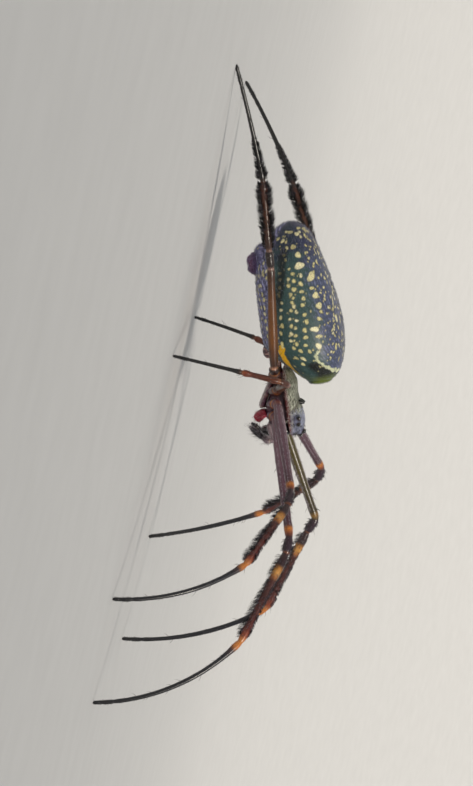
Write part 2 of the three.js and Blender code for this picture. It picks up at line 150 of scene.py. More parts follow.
def finish_of(name, base, grain_mm, contrast, relief_mm, stretch=(1, 1, 1), rough=(0.3, 0.5)):
    """A material with the markings in "hue", a fine grain over them and the same grain in relief."""
    material = bpy.data.materials.new(name)
    material.use_nodes = True
    tree = material.node_tree
    shader = tree.nodes["Principled BSDF"]
    for socket, value in base.items():
        shader.inputs[socket].default_value = value
    hue = add_node(tree, "ShaderNodeAttribute", {"attribute_name": "hue"})
    place = add_node(tree, "ShaderNodeTexCoord")
    spread = add_node(tree, "ShaderNodeMapping", {"vector_type": "POINT"},
                      {"Vector": place.outputs["Object"], "Scale": stretch})
    grain = add_node(tree, "ShaderNodeTexNoise", None,
                     {"Vector": spread.outputs["Vector"], "Scale": 1 / (grain_mm * MM),
                      "Detail": 3.0, "Roughness": 0.6})
    light = add_node(tree, "ShaderNodeMapRange", None,
                     {"Value": grain.outputs["Fac"], "From Min": GRAIN_LOW, "From Max": GRAIN_HIGH,
                      "To Min": 1 - contrast, "To Max": 1 + contrast})
    tint = add_node(tree, "ShaderNodeVectorMath", {"operation": "SCALE"},
                    {0: hue.outputs["Color"], "Scale": light.outputs["Result"]})
    tree.links.new(tint.outputs["Vector"], shader.inputs["Base Color"])
    gloss = add_node(tree, "ShaderNodeMapRange", None,
                     {"Value": grain.outputs["Fac"], "From Min": GRAIN_LOW, "From Max": GRAIN_HIGH,
                      "To Min": rough[0], "To Max": rough[1]})
    tree.links.new(gloss.outputs["Result"], shader.inputs["Roughness"])
    bump = add_node(tree, "ShaderNodeBump", None,
                    {"Height": grain.outputs["Fac"], "Strength": 1.0, "Distance": relief_mm * MM})
    tree.links.new(bump.outputs["Normal"], shader.inputs["Normal"])
    return material


# Abdomen skin: thin leathery cuticle under lying hair, a soft satin with a silky sheen
abdomen_cuticle = finish_of(
    "soft abdomen cuticle",
    {"IOR": 1.48, "Sheen Weight": 0.05, "Sheen Roughness": 0.4, "Sheen Tint": (0.6, 0.65, 1, 1),
     "Coat Weight": 0.12, "Coat Roughness": 0.3},
    0.16, 0.3, 0.03, rough=(0.36, 0.55))
# Carapace: hard shield hidden by silvery down, matt with a faint shine between the hairs
downy_carapace = finish_of("downy carapace", {"IOR": 1.45, "Sheen Weight": 0.08, "Sheen Roughness": 0.5},
                           0.14, 0.3, 0.03, rough=(0.42, 0.65))
# Limbs: hard lacquer-like chitin, long highlights broken by fine lengthwise grain
limb_chitin = finish_of("polished limb chitin", {"IOR": 1.54, "Coat Weight": 0.3, "Coat Roughness": 0.18},
                        0.12, 0.22, 0.012, rough=(0.28, 0.44))
# Jaws, claws and eyes: the hardest, darkest chitin, as glossy as glass
jaw_chitin = finish_of("black jaw chitin", {"IOR": 1.56, "Coat Weight": 0.6, "Coat Roughness": 0.05},
                       0.4, 0.15, 0.01, rough=(0.12, 0.2))
eye_lens = finish_of("eye lens", {"IOR": 1.5, "Coat Weight": 1.0, "Coat Roughness": 0.02},
                     0.5, 0.05, 0.0, rough=(0.04, 0.06))
# Mouthparts and spinnerets: softer chitin, red and slightly wet
soft_chitin = finish_of(
    "soft red chitin", {"IOR": 1.48, "Subsurface Weight": 0.08, "Subsurface Scale": 0.0003},
    0.14, 0.25, 0.02, rough=(0.28, 0.45))
# Bristles and hairs: solid keratin-like rods, each with one thin highlight
bristle = finish_of("bristles and hairs", {"IOR": 1.54}, 0.3, 0.2, 0.0, rough=(0.35, 0.5))


# Surfaces: rings of points, which also tell where a hair can root


class Surface:
    """Rings of points with the way along them and the way out of the skin at each point."""

    def __init__(self, rings):
        self.rings = np.asarray(rings, float)
        r = self.rings
        self.along = unit(np.gradient(r, axis=0))
        around = np.roll(r, -1, 1) - np.roll(r, 1, 1)
        normal = unit(np.cross(self.along, around))
        outward = r - r.mean(1, keepdims=True)
        if (normal * outward).sum() < 0:
            normal = -normal
        self.normal = normal

    def read(self, grid, u, v):
        """A grid of values, one for each ring point, read between the points at u along and v round."""
        rows, sides = self.rings.shape[:2]
        x = np.clip(u, 0, 1) * (rows - 1)
        i = np.minimum(x.astype(int), rows - 2)
        y = (v % 1) * sides
        j = y.astype(int) % sides
        k = (j + 1) % sides
        f, g = (x - i)[:, None], (y - np.floor(y))[:, None]
        return ((grid[i, j] * (1 - g) + grid[i, k] * g) * (1 - f)
                + (grid[i + 1, j] * (1 - g) + grid[i + 1, k] * g) * f)

    def sow(self, count, seed, where=None):
        """Root places spread evenly over the surface, or as thick as where(u, v) says."""
        rng = np.random.default_rng(seed)
        r = self.rings
        rows, sides = r.shape[:2]
        a = r[1:] - r[:-1]
        b = np.roll(r, -1, 1)[:-1] - r[:-1]
        area = np.linalg.norm(np.cross(a, b), axis=2)
        u = (np.arange(rows - 1)[:, None] + 0.5) / (rows - 1) * np.ones((1, sides))
        v = np.ones((rows - 1, 1)) * (np.arange(sides)[None] + 0.5) / sides
        weight = area * (where(u, v) if where else 1)
        pick = rng.choice(weight.size, count, p=(weight / weight.sum()).ravel())
        i, j = np.divmod(pick, sides)
        return (i + rng.random(count)) / (rows - 1), (j + rng.random(count)) / sides


def closed_faces(rows, sides):
    """Quads between the rings, and a fan over each end about two extra points."""
    i = np.arange(rows - 1)[:, None] * sides
    j = np.arange(sides)[None]
    k = (j + 1) % sides
    quads = np.stack([i + j, i + k, i + sides + k, i + sides + j], -1).reshape(-1, 4)
    first = rows * sides
    last = (rows - 1) * sides
    j, k = j[0], k[0]
    front_fan = np.stack([k, j, 0 * j + first], -1)
    back_fan = np.stack([last + j, last + k, 0 * j + first + 1], -1)
    return [quads, np.concatenate([front_fan, back_fan])]


def mesh_piece(name, points, faces, material, hue, bake_uv=None):
    """A smooth mesh object from points in millimetres, coloured point by point."""
    mesh = bpy.data.meshes.new(name)
    corners = np.concatenate([f.ravel() for f in faces]).astype(np.int32)
    sizes = np.concatenate([np.full(len(f), f.shape[1]) for f in faces])
    mesh.vertices.add(len(points))
    mesh.vertices.foreach_set("co", (np.asarray(points) * MM).astype(np.float32).ravel())
    mesh.loops.add(len(corners))
    mesh.loops.foreach_set("vertex_index", corners)
    mesh.polygons.add(len(sizes))
    mesh.polygons.foreach_set("loop_start", np.concatenate([[0], np.cumsum(sizes)[:-1]]).astype(np.int32))
    mesh.update(calc_edges=True)
    mesh.shade_smooth()
    colour = np.ones((len(points), 4), np.float32)
    colour[:, :3] = hue
    mesh.attributes.new("hue", "FLOAT_COLOR", "POINT").data.foreach_set("color", colour.ravel())
    if bake_uv is not None:
        corner_uv = np.asarray(bake_uv, np.float32)[corners].ravel()
        mesh.uv_layers.new(name="OFBake").data.foreach_set("uv", corner_uv)
    mesh.materials.append(material)
    piece = bpy.data.objects.new(name, mesh)
    bpy.context.scene.collection.objects.link(piece)
    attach(piece, "root")
    return piece


def skin_piece(name, surface, material, hue):
    """A closed skin over a surface's rings. hue holds one colour for each ring point, or one for all."""
    r = surface.rings
    rows, sides = r.shape[:2]
    points = np.concatenate([r.reshape(-1, 3), [r[0].mean(0)], [r[-1].mean(0)]])
    hue = np.broadcast_to(hue, r.shape)
    colours = np.concatenate([hue.reshape(-1, 3), [hue[0].mean(0)], [hue[-1].mean(0)]])
    faces = closed_faces(rows, sides)
    a, b, c = (points[faces[0][:, n]] for n in (0, 1, 2))
    if (np.cross(a, b) * c).sum() < 0:
        faces = [f[:, ::-1] for f in faces]
    return mesh_piece(name, points, faces, material, colours)


def hairs(surface, places, length, rise, width, hue, seed, lie=1, sway=12, sag=0.5, spread=0.3):
    """Tapered three-sided hairs rooted at places. rise is degrees off the skin, sag how much of it
    the outer half loses, lie which way along the rings they point, sway how untidily they lie and
    spread how unlike their lengths are."""
    rng = np.random.default_rng(seed)
    u, v = places
    count = len(u)
    root = surface.read(surface.rings, u, v)
    normal = unit(surface.read(surface.normal, u, v))
    way = unit(surface.read(surface.along, u, v)) * lie
    turn = np.radians(rng.normal(0, sway, count))[:, None]
    way = unit(way * np.cos(turn) + np.cross(normal, way) * np.sin(turn))
    length = np.broadcast_to(length, count) * rng.uniform(1 - spread, 1 + spread, count)
    rise = np.radians(np.broadcast_to(rise, count) + rng.normal(0, 6, count))[:, None]
    first = normal * np.sin(rise) + way * np.cos(rise)
    second = unit(normal * np.sin(rise * (1 - sag)) + way * np.cos(rise * (1 - sag)))
    middle = root + first * length[:, None] * 0.5
    tip = middle + second * length[:, None] * 0.5
    side = unit(np.cross(normal, way))
    across = unit(np.cross(first, side))
    angle = np.arange(3) * 2 * math.pi / 3
    ring = side[:, None] * np.cos(angle)[None, :, None] + across[:, None] * np.sin(angle)[None, :, None]
    width = np.broadcast_to(width, count)[:, None, None]
    low = (root - normal * 0.04)[:, None] + ring * width * 0.5
    high = middle[:, None] + ring * width * 0.36
    points = np.concatenate([low, high, tip[:, None]], 1)
    patch = np.stack([np.cos(angle), np.sin(angle)], -1)[None]
    at = np.stack([u, v % 1], -1)[:, None]
    uv = np.concatenate([at + patch * 0.0015, at + patch * 0.0008, at], 1)
    shade = rng.uniform(0.75, 1.25, count)[:, None, None]
    colours = np.broadcast_to(np.asarray(hue).reshape(-1, 1, 3), (count, 7, 3)) * shade
    return points, uv, colours


def coat_piece(name, batches):
    """All the hairs of one skin as a single mesh."""
    points, uv, hue = (np.concatenate([b[n] for b in batches]).reshape(-1, (3, 2, 3)[n]) for n in range(3))
    count = len(points) // 7
    one = np.array([[0, 1, 4], [0, 4, 3], [1, 2, 5], [1, 5, 4], [2, 0, 3], [2, 3, 5],
                    [3, 4, 6], [4, 5, 6], [5, 3, 6]])
    faces = (np.arange(count)[:, None, None] * 7 + one[None]).reshape(-1, 3)
    return mesh_piece(name, points, [faces], bristle, np.clip(hue, 0, 1), uv)


def upright_rings(stations, sides, square):
    """Rings of an upright section at each x: rows of (x, low, high, half width, middle)."""
    a = np.arange(sides) / sides * 2 * math.pi
    c = np.sign(np.cos(a)) * np.abs(np.cos(a)) ** (2 / square)
    s = np.sign(np.sin(a)) * np.abs(np.sin(a)) ** (2 / square)
    x, low, high, half, middle = (np.asarray(stations)[:, n:n + 1] for n in range(5))
    z = middle + np.where(s > 0, high - middle, middle - low) * s
    return np.stack([x + 0 * c, -half * c, z], -1)


def rounding(share, reach=0.1):
    """How much of its girth a limb keeps at each share of the way from a rounded end."""
    dome = np.clip(1 - (1 - share / reach) ** 2, 0.0004, 1)
    return np.sqrt(dome * (share < reach) + (share >= reach))[:, None]


def bent_rings(points, girth, side, rings=36, sides=20, round_start=True, round_end=True):
    """Rings along a bent limb. girth holds rows of (share, half width, half height)."""
    points = np.array(points, float)
    knots = np.concatenate([[0], np.cumsum(np.linalg.norm(np.diff(points, axis=0), axis=1))])
    share = np.linspace(0, 1, rings)
    path = spline(np.column_stack([knots / knots[-1], points]), share)
    girth = np.array([(g[0], g[1], g[-1]) for g in girth], float)
    size = spline(girth, share)
    if round_start:
        size = size * rounding(share)
    if round_end:
        size = size * rounding(1 - share)
    return rings_on(path, size, side, sides)


def rings_on(path, size, side, sides):
    """Rings square to a path, turned as little as can be from one to the next."""
    way = unit(np.gradient(path, axis=0))
    across = np.empty_like(path)
    last = np.array(side, float)
    for n, direction in enumerate(way):
        last = last - direction * (last @ direction)
        last = last / np.linalg.norm(last)
        across[n] = last
    up = np.cross(way, across)
    a = np.arange(sides) / sides * 2 * math.pi
    return (path[:, None] + across[:, None] * (np.cos(a)[None, :, None] * size[:, None, :1])
            + up[:, None] * (np.sin(a)[None, :, None] * size[:, None, 1:]))


def ball_rings(centre, size, rings=12, sides=18):
    """Rings of an ellipsoid from front to back."""
    share = np.linspace(0, math.pi, rings + 2)[1:-1]
    a = np.arange(sides) / sides * 2 * math.pi
    x = np.cos(share)[:, None] + 0 * a
    y = np.sin(share)[:, None] * np.cos(a)
    z = np.sin(share)[:, None] * np.sin(a)
    return np.array(centre) + np.stack([x, y, z], -1) * np.array(size)


def joined(name, pieces):
    """Several mesh objects as one."""
    with bpy.context.temp_override(active_object=pieces[0], object=pieces[0], selected_objects=pieces,
                                   selected_editable_objects=pieces):
        bpy.ops.object.join()
    pieces[0].name = name
    pieces[0].data.name = name
    return pieces[0]


# Camera: long lens, low at the spider's right, rolled so that she hangs head down in the frame


def set_camera():
    yaw, rise, roll = map(math.radians, (-6.3, 2.0, -12.85))
    target = np.array([1.044, 1.806, 8.6])
    distance = 400.0
    focal_px, frame_height_px = 3000.0, 786
    back = np.array([math.sin(yaw) * math.cos(rise), -math.cos(yaw) * math.cos(rise), math.sin(rise)])
    right = unit(np.cross(-back, [0, 0, 1]))
    up = np.cross(right, -back)
    frame_right = math.cos(roll) * up + math.sin(roll) * right
    frame_down = math.cos(roll) * right - math.sin(roll) * up
    camera = bpy.data.objects.new("camera", bpy.data.cameras.new("camera"))
    turn = np.column_stack([frame_right, -frame_down, back])
    place = Matrix.Translation(Vector((target + distance * back) * MM))
    camera.matrix_world = place @ Matrix(turn.tolist()).to_4x4()
    camera.data.lens = focal_px * camera.data.sensor_width / frame_height_px
    camera.data.clip_start = 0.01
    camera.data.clip_end = 50
    bpy.context.scene.collection.objects.link(camera)
    bpy.context.scene.camera = camera


# Abdomen


ABDOMEN_SHAPE = [  # share from front to rear, underside, top, half width
    (0, 3.88, 3.92, 0.05), (0.008, 3.0, 5.0, 1.1), (0.03, 2.4, 5.9, 1.9), (0.06, 1.6, 6.65, 2.7),
    (0.12, 0.2, 7.35, 3.7), (0.2, -1.75, 7.85, 4.45), (0.25, -2.65, 8.0, 4.8), (0.34, -3.0, 8.1, 5.15),
    (0.42, -3.05, 7.95, 5.3), (0.5, -3.1, 7.7, 5.28), (0.6, -3.08, 7.25, 5.15), (0.68, -2.98, 6.85, 4.9),
    (0.76, -2.6, 6.35, 4.6), (0.87, -1.35, 5.5, 3.65), (0.94, -0.1, 4.75, 2.6), (0.98, 0.95, 3.8, 1.5),
    (0.995, 1.8, 3.0, 0.7), (1, 2.35, 2.55, 0.05)]
BLOTCHES = [  # x, degrees above the side, half length, half width, turn, paleness
    (-16.0, 10, 0.28, 0.42, 0, 0.55), (-14.9, 18, 0.36, 0.42, 0, 0.9), (-13.5, 17, 0.40, 0.78, 14, 1.0),
    (-11.9, 32, 0.44, 0.74, 38, 0.9), (-9.4, 31, 0.42, 0.42, 0, 0.9), (-8.0, 32, 0.46, 0.40, 0, 0.9),
    (-5.0, 19, 0.34, 0.58, 0, 1.0), (-4.0, 24, 0.22, 0.42, 0, 0.8), (-2.7, 21, 0.50, 0.33, 0, 0.95),
    (-10.4, 28, 0.22, 0.3, 0, 0.8), (-6.3, 28, 0.26, 0.28, 0, 0.8), (-7.2, 33, 0.2, 0.24, 0, 0.7),
    (-9.8, 72, 0.5, 0.1, 0, 0.8), (-8.2, 60, 0.85, 0.11, -14, 0.9), (-6.0, 59, 0.46, 0.24, 0, 0.95),
    (-17.6, 22, 0.26, 0.34, 20, 0.95), (-17.9, 2, 0.2, 0.34, 0, 0.8), (-18.3, 34, 0.16, 0.34, 0, 0.8),
    (-18.1, 58, 0.2, 0.4, 0, 0.9), (-17.3, 44, 0.24, 0.2, 0, 0.8),
    (-17.2, -30, 0.2, 0.3, 0, 0.8), (-2.2, 50, 0.36, 0.16, 0, 0.7), (-3.8, 68, 0.4, 0.09, 0, 0.7),
    (-16.9, -15, 0.28, 0.26, 0, 0.9)]
BEADS = 210  # tiny cream beads scattered over each side
SPOT_ROWS = [  # first x, last x, count, first and last angle, radius, how long for their width, uneven
    (-12.2, -2.1, 11, 14, 4, 0.27, 1.0, 1.0), (-12.6, -1.3, 12, 4, -10, 0.26, 1.1, 1.0),
    (-12.0, -0.6, 12, -4, -20, 0.25, 1.0, 1.2), (-12.8, -5.0, 9, -16, -28, 0.25, 1.2, 1.0),
    (-13.4, -4.0, 10, -38, -40, 0.24, 1.3, 1.5), (-16.2, -4.6, 13, -49, -54, 0.29, 1.5, 1.5),
    (-13.6, -5.0, 9, -62, -68, 0.22, 1.5, 1.5), (-13.0, -5.4, 8, -78, -80, 0.2, 1.5, 2.0),
    (-17.8, -13.2, 6, -8, -2, 0.2, 1.3, 2.0), (-17.9, -13.0, 6, 30, 42, 0.18, 1.2, 2.0),
    (-17.4, -1.0, 18, 45, 45, 0.17, 1.4, 3.0), (-18.6, -1.4, 18, 55, 53, 0.18, 1.9, 3.0),
    (-18.5, -1.0, 18, 64, 62, 0.18, 2.6, 3.0), (-18.4, -0.8, 17, 74, 72, 0.17, 3.0, 3.0),
    (-17.8, 0.0, 15, 85, 86, 0.15, 2.8, 2.0)]
# The ivory band behind the front patch and the gold stripe low on the side, as (x, degrees) places
FRONT_BAND = [(-1.9, 17), (-1.3, 11), (-0.8, 9), (-0.4, 14), (0.1, 21), (0.45, 30), (0.8, 41),
              (1.0, 60), (1.1, 90)]
SIDE_STRIPE = [(-2.9, -33), (-2.4, -38), (-1.2, -47), (-0.3, -57), (0.5, -64), (1.6, -66)]


def near_line(x, angle, line, radius):
    """Distance in millimetres over the skin from a line of (x, angle) places."""
    best = np.full(x.shape, 99.0)
    for (xa, aa), (xb, ab) in zip(line, line[1:]):
        reach = radius * math.pi / 180
        dx, dy = xb - xa, (ab - aa) * ABDOMEN_GIRTH * math.pi / 180
        t = np.clip(((x - xa) * dx + (angle - aa) * reach * dy) / (dx * dx + dy * dy), 0, 1)
        best = np.minimum(best, np.hypot(x - xa - t * dx, (angle - aa - t * (ab - aa)) * reach))
    return best


def ripple(x, y, scale, seed):
    """Soft seeded waves, to break up an edge or a field of colour."""
    rng = np.random.default_rng(seed)
    total = np.zeros_like(x)
    for octave in range(5):
        for _ in range(3):
            turn, shift = rng.uniform(0, 2 * math.pi, 2)
            pitch = 2 * math.pi / scale * 1.7 ** octave * rng.uniform(0.8, 1.25)
            total += np.sin((x * math.cos(turn) + y * math.sin(turn)) * pitch + shift) / 1.6 ** octave
    return total / 4.0


def cream_marks(rng):
    """All the cream marks of one side: the large ones, those in rows and the scattered beads."""
    marks = list(BLOTCHES)
    for first, last, count, low, high, size, longer, uneven in SPOT_ROWS:
        for n in range(count):
            t = n / (count - 1)
            marks.append((first + (last - first) * t + rng.normal(0, 0.1) * uneven,
                          low + (high - low) * t + rng.normal(0, 1.5) * uneven,
                          size * rng.uniform(0.75, 1.2) * math.sqrt(longer),
                          size * rng.uniform(0.75, 1.2) / math.sqrt(longer),
                          rng.normal(0, 14) * uneven, rng.uniform(0.65, 1)))
    for _ in range(BEADS):
        bead = rng.uniform(0.045, 0.11)
        marks.append((rng.uniform(-18.6, 0.8), rng.uniform(-88, 88), bead * rng.uniform(1, 1.7), bead,
                      rng.normal(0, 25), rng.uniform(0.4, 0.85)))
    return marks


def abdomen_markings(x, y, z, middle, high, low, half):
    """The colour of each point of the abdomen's skin."""
    tall = np.where(z > middle, high - middle, middle - low)
    lift = (z - middle) / np.maximum(tall, 0.05)
    angle = np.degrees(np.arctan2(lift, np.abs(y) / np.maximum(half, 0.05)))
    radius = np.clip(np.sqrt(np.maximum(half, 0.3) * np.maximum(tall, 0.3)), 0.4, 6)
    over = angle * radius * math.pi / 180
    side = np.where(y < 0, 0.0, 50.0)
    cloud = ripple(x + side, over, 2.6, 3)
    fine = ripple(x * 0.5 + side, over * 1.3, 0.55, 5)
    cream = linear("#EFE3A0")
    # teal flank, slate back with lilac and grey bloom, indigo rear, violet belly
    hue = np.broadcast_to(linear("#34504F"), x.shape + (3,)).copy()
    hue = blend(hue, "#4A4F6C", smooth(angle + cloud * 9, 14, 40) * 0.9)
    hue = blend(hue, "#262B3F", smooth(angle + cloud * 8, 60, 84) * 0.8)
    hue = blend(hue, "#8084B0", smooth(fine + cloud * 0.4, 0.15, 0.7) * smooth(angle, 12, 32) * 0.65)
    hue = blend(hue, "#6F858C", smooth(fine, 0.25, 0.9) * 0.3)
    hue = blend(hue, "#1B2044", smooth(-x + cloud * 1.4, 13.2, 16.5) * 0.75)
    hue = blend(hue, "#5F608A", smooth(-angle + cloud * 4, 29, 42) * smooth(-x, 1.5, 4.5))
    streaks = smooth(ripple(x * 0.7 + side, over, 1.0, 8), 0.0, 0.45)
    hue = blend(hue, "#1C1C38", streaks * smooth(-angle, 32, 46) * 0.9)
    # painted highlights: pale lavender patches over the belly that stand for light caught on it
    lights = smooth(ripple(x * 0.7 + side, over, 0.8, 14), 0.0, 0.45)
    hue = blend(hue, "#A9A8D6", lights * smooth(-angle, 30, 42) * smooth(-x, 1.5, 4) * 0.95)
    hue = blend(hue, "#4A2A54", near(x, -14.7, 1.3) * near(y, 0, 1.5) * (z < middle) * 0.9)
    # the dark patch ahead of the band, and the olive front pole
    edge = np.interp(angle, [a for _, a in FRONT_BAND[2:]], [p for p, _ in FRONT_BAND[2:]])
    hue = blend(hue, "#0C110C", smooth(x - edge, -0.1, 0.5) * smooth(angle + cloud * 6, -22, 2))
    hue = blend(hue, "#5C6A1A", smooth(x + cloud * 0.35, 0.9, 2.5) * smooth(angle, -70, -20))
    rng = np.random.default_rng(11)
    for hand in (-1, 1):
        mine = y * hand >= 0
        for at, rise, long, wide, turn, pale in cream_marks(rng):
            dx, dy = x - at, (angle - rise) * radius * math.pi / 180
            close = (np.abs(dx) < 1.6) & (np.abs(dy) < 1.6) & mine
            if not close.any():
                continue
            c, s = math.cos(math.radians(turn)), math.sin(math.radians(turn))
            p, q = dx[close] * c + dy[close] * s, -dx[close] * s + dy[close] * c
            around = np.arctan2(q, p)
            wobble = 1 + 0.11 * np.sin(2 * around + at * 5) + 0.09 * np.sin(3 * around + rise)
            away = (np.hypot(p / long, q / wide) / wobble - 1) * min(long, wide)
            tone = cream + (linear("#F7F3DC") - cream) * max(0.0, pale - 0.8) * 2.5
            rimmed = blend(hue[close], "#1E2B2E", smooth(-away, -0.16, 0.0) * 0.35)
            hue[close] = blend(rimmed, tone * (0.45 + 0.55 * pale), smooth(-away, -0.05, 0.07))
    # painted shade: a near-black band in the groove above the belly's edge, standing for the groove's shade
    # and the hind leg's shadow on the abdomen
    groove_shade_height = np.interp(x, [-15.3, -13.7, -12.3, -10.7, -9.1, -7.5], [1.3, 0.85, 0.75, 0.35, -0.1, -0.5])
    shade = near(z + cloud * 0.15, groove_shade_height, 0.6, 4) * smooth(-x, 7.2, 9.5) * smooth(x, -16.6, -15.2)
    hue = blend(hue, "#070D12", shade * 0.85)
    # ivory band, gold stripe and the cream mark behind it
    wide = 0.19 + 0.14 * ripple(x + side, over, 0.9, 21) + 0.07 * smooth(angle, 20, 45)
    band = near_line(x, angle, FRONT_BAND, radius)
    hue = blend(hue, linear("#D9DCB4") * 0.95, smooth(wide - band, -0.06, 0.08) * smooth(x, -2.3, -1.9))
    wide = (0.4 + 0.1 * ripple(x + side, over, 1.0, 22)) * (1 - 0.45 * smooth(x, 0.4, 1.7))
    gold = blend(linear("#FFC40C"), "#A8A032", smooth(x, -0.2, 1.0))
    hue = blend(hue, gold, smooth(wide - near_line(x, angle, SIDE_STRIPE, radius), -0.05, 0.07))
    mark = near_line(x, angle, [(-3.6, -30), (-3.0, -31)], radius)
    return blend(hue, cream, smooth(0.2 - mark, -0.04, 0.05))


def build_abdomen():
    rows, sides = 320, 300
    share = (1 - np.cos(np.linspace(0.02, math.pi - 0.02, rows))) / 2
    # the skin lies 0.05 mm inside the solid, which the down then fills out
    low, high, half = spline(ABDOMEN_SHAPE, share).T - np.array([[-0.05], [0.05], [0.05]])
    x = ABDOMEN_FRONT + (ABDOMEN_REAR - ABDOMEN_FRONT) * share
    half = np.maximum(half, 0.04)
    middle = (low + high) / 2
    rings = upright_rings(np.column_stack([x, low, high, half, middle]), sides, 2.1)
    columns = [np.broadcast_to(a[:, None], (rows, sides)) for a in (middle, high, low, half)]
    hue = abdomen_markings(rings[..., 0], rings[..., 1], rings[..., 2], *columns)
    # the mound underneath that carries the spinnerets
    reach = 1 - ((rings[..., 0] + 14) / 2.85) ** 2 - (rings[..., 1] / 2.15) ** 2
    mound = -1.4 - 1.66 * np.sqrt(np.clip(reach, 0, 1))
    below = (rings[..., 2] < middle[:, None]) * smooth(reach, 0, 0.1)
    drop = np.clip(0.5 + (rings[..., 2] - mound) / 0.5, 0, 1)
    sunk = rings[..., 2] + (mound - rings[..., 2]) * drop - 0.25 * drop * (1 - drop)
    rings[..., 2] += (sunk - rings[..., 2]) * below
    surface = Surface(from_body(rings))
    # shallow dimples where muscles pull the skin in, in two rows along the back, and faint cross folds
    bx, by, bz = rings[..., 0], rings[..., 1], rings[..., 2]
    sink = 0.012 * ripple(bx, bz, 1.1, 9)
    for at in (-2.5, -6.5, -10.5):
        sink += 0.09 * near(bx, at, 0.35) * near(np.abs(by), 1.5, 0.3) * (bz > 2)
    surface.rings = surface.rings - surface.normal * sink[..., None]
    skin = skin_piece("abdomen_skin", surface, abdomen_cuticle, hue)
    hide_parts("abdomen")
    place = surface.sow(ABDOMEN_DOWN, 31)
    is_grey = np.random.default_rng(32).random(ABDOMEN_DOWN) < 0.5
    tone = np.where(is_grey[:, None], linear("#8E97A8"), linear("#232636"))
    down = hairs(surface, place, 0.34, 20, 0.02, tone, 33, sway=16)
    body_x = lambda u: ABDOMEN_FRONT + (ABDOMEN_REAR - ABDOMEN_FRONT) * (1 - np.cos(u * math.pi)) / 2
    tail = surface.sow(1400, 34, lambda u, v: (body_x(u) < -15) * 1.0)
    long_hairs = hairs(surface, tail, 0.5, 30, 0.022, linear("#77718A"), 35, sway=14)
    coat = coat_piece("abdomen_hair", [down, long_hairs])
    # epigyne: a low, dark pink boss with a pale lip
    boss = Surface(from_body(ball_rings((-2.4, 0, -2.4), (0.95, 1.15, 0.68), 24, 32)))
    fleck = ripple(boss.rings[..., 0], boss.rings[..., 1] + boss.rings[..., 2], 0.5, 63)
    tone = blend(linear("#4E363E"), "#B4928A", smooth(fleck, 0.0, 0.6))
    epigyne = skin_piece("epigyne", boss, soft_chitin, tone)


# Carapace, trunk and what grows on them


CARAPACE_SHAPE = [  # share from rear to front, underside, top, half width
    (0, -0.55, 0.05, 0.5), (0.02, -0.7, 0.3, 1.1), (0.05, -0.8, 0.5, 1.6), (0.12, -0.9, 0.8, 2.4),
    (0.2, -0.95, 1.0, 2.9), (0.3, -0.98, 1.04, 3.25), (0.38, -1.0, 1.02, 3.35), (0.47, -1.0, 1.08, 3.25),
    (0.55, -1.0, 1.2, 2.95), (0.63, -0.98, 1.36, 2.6), (0.7, -0.94, 1.46, 2.45), (0.8, -0.86, 1.5, 2.4),
    (0.88, -0.78, 1.34, 2.3), (0.94, -0.7, 1.02, 2.05), (0.98, -0.58, 0.66, 1.7), (1, -0.45, 0.3, 1.3)]
TRUNK_SHAPE = [  # share from rear to front, underside, half width
    (0, -1.5, 0.7), (0.12, -1.7, 1.25), (0.3, -2.25, 1.75), (0.45, -2.8, 1.9), (0.65, -3.4, 2.0),
    (0.85, -3.5, 1.8), (1, -3.2, 1.2)]
FOVEA = 3.1  # x of the pit in the middle of the carapace, from which its grooves spread


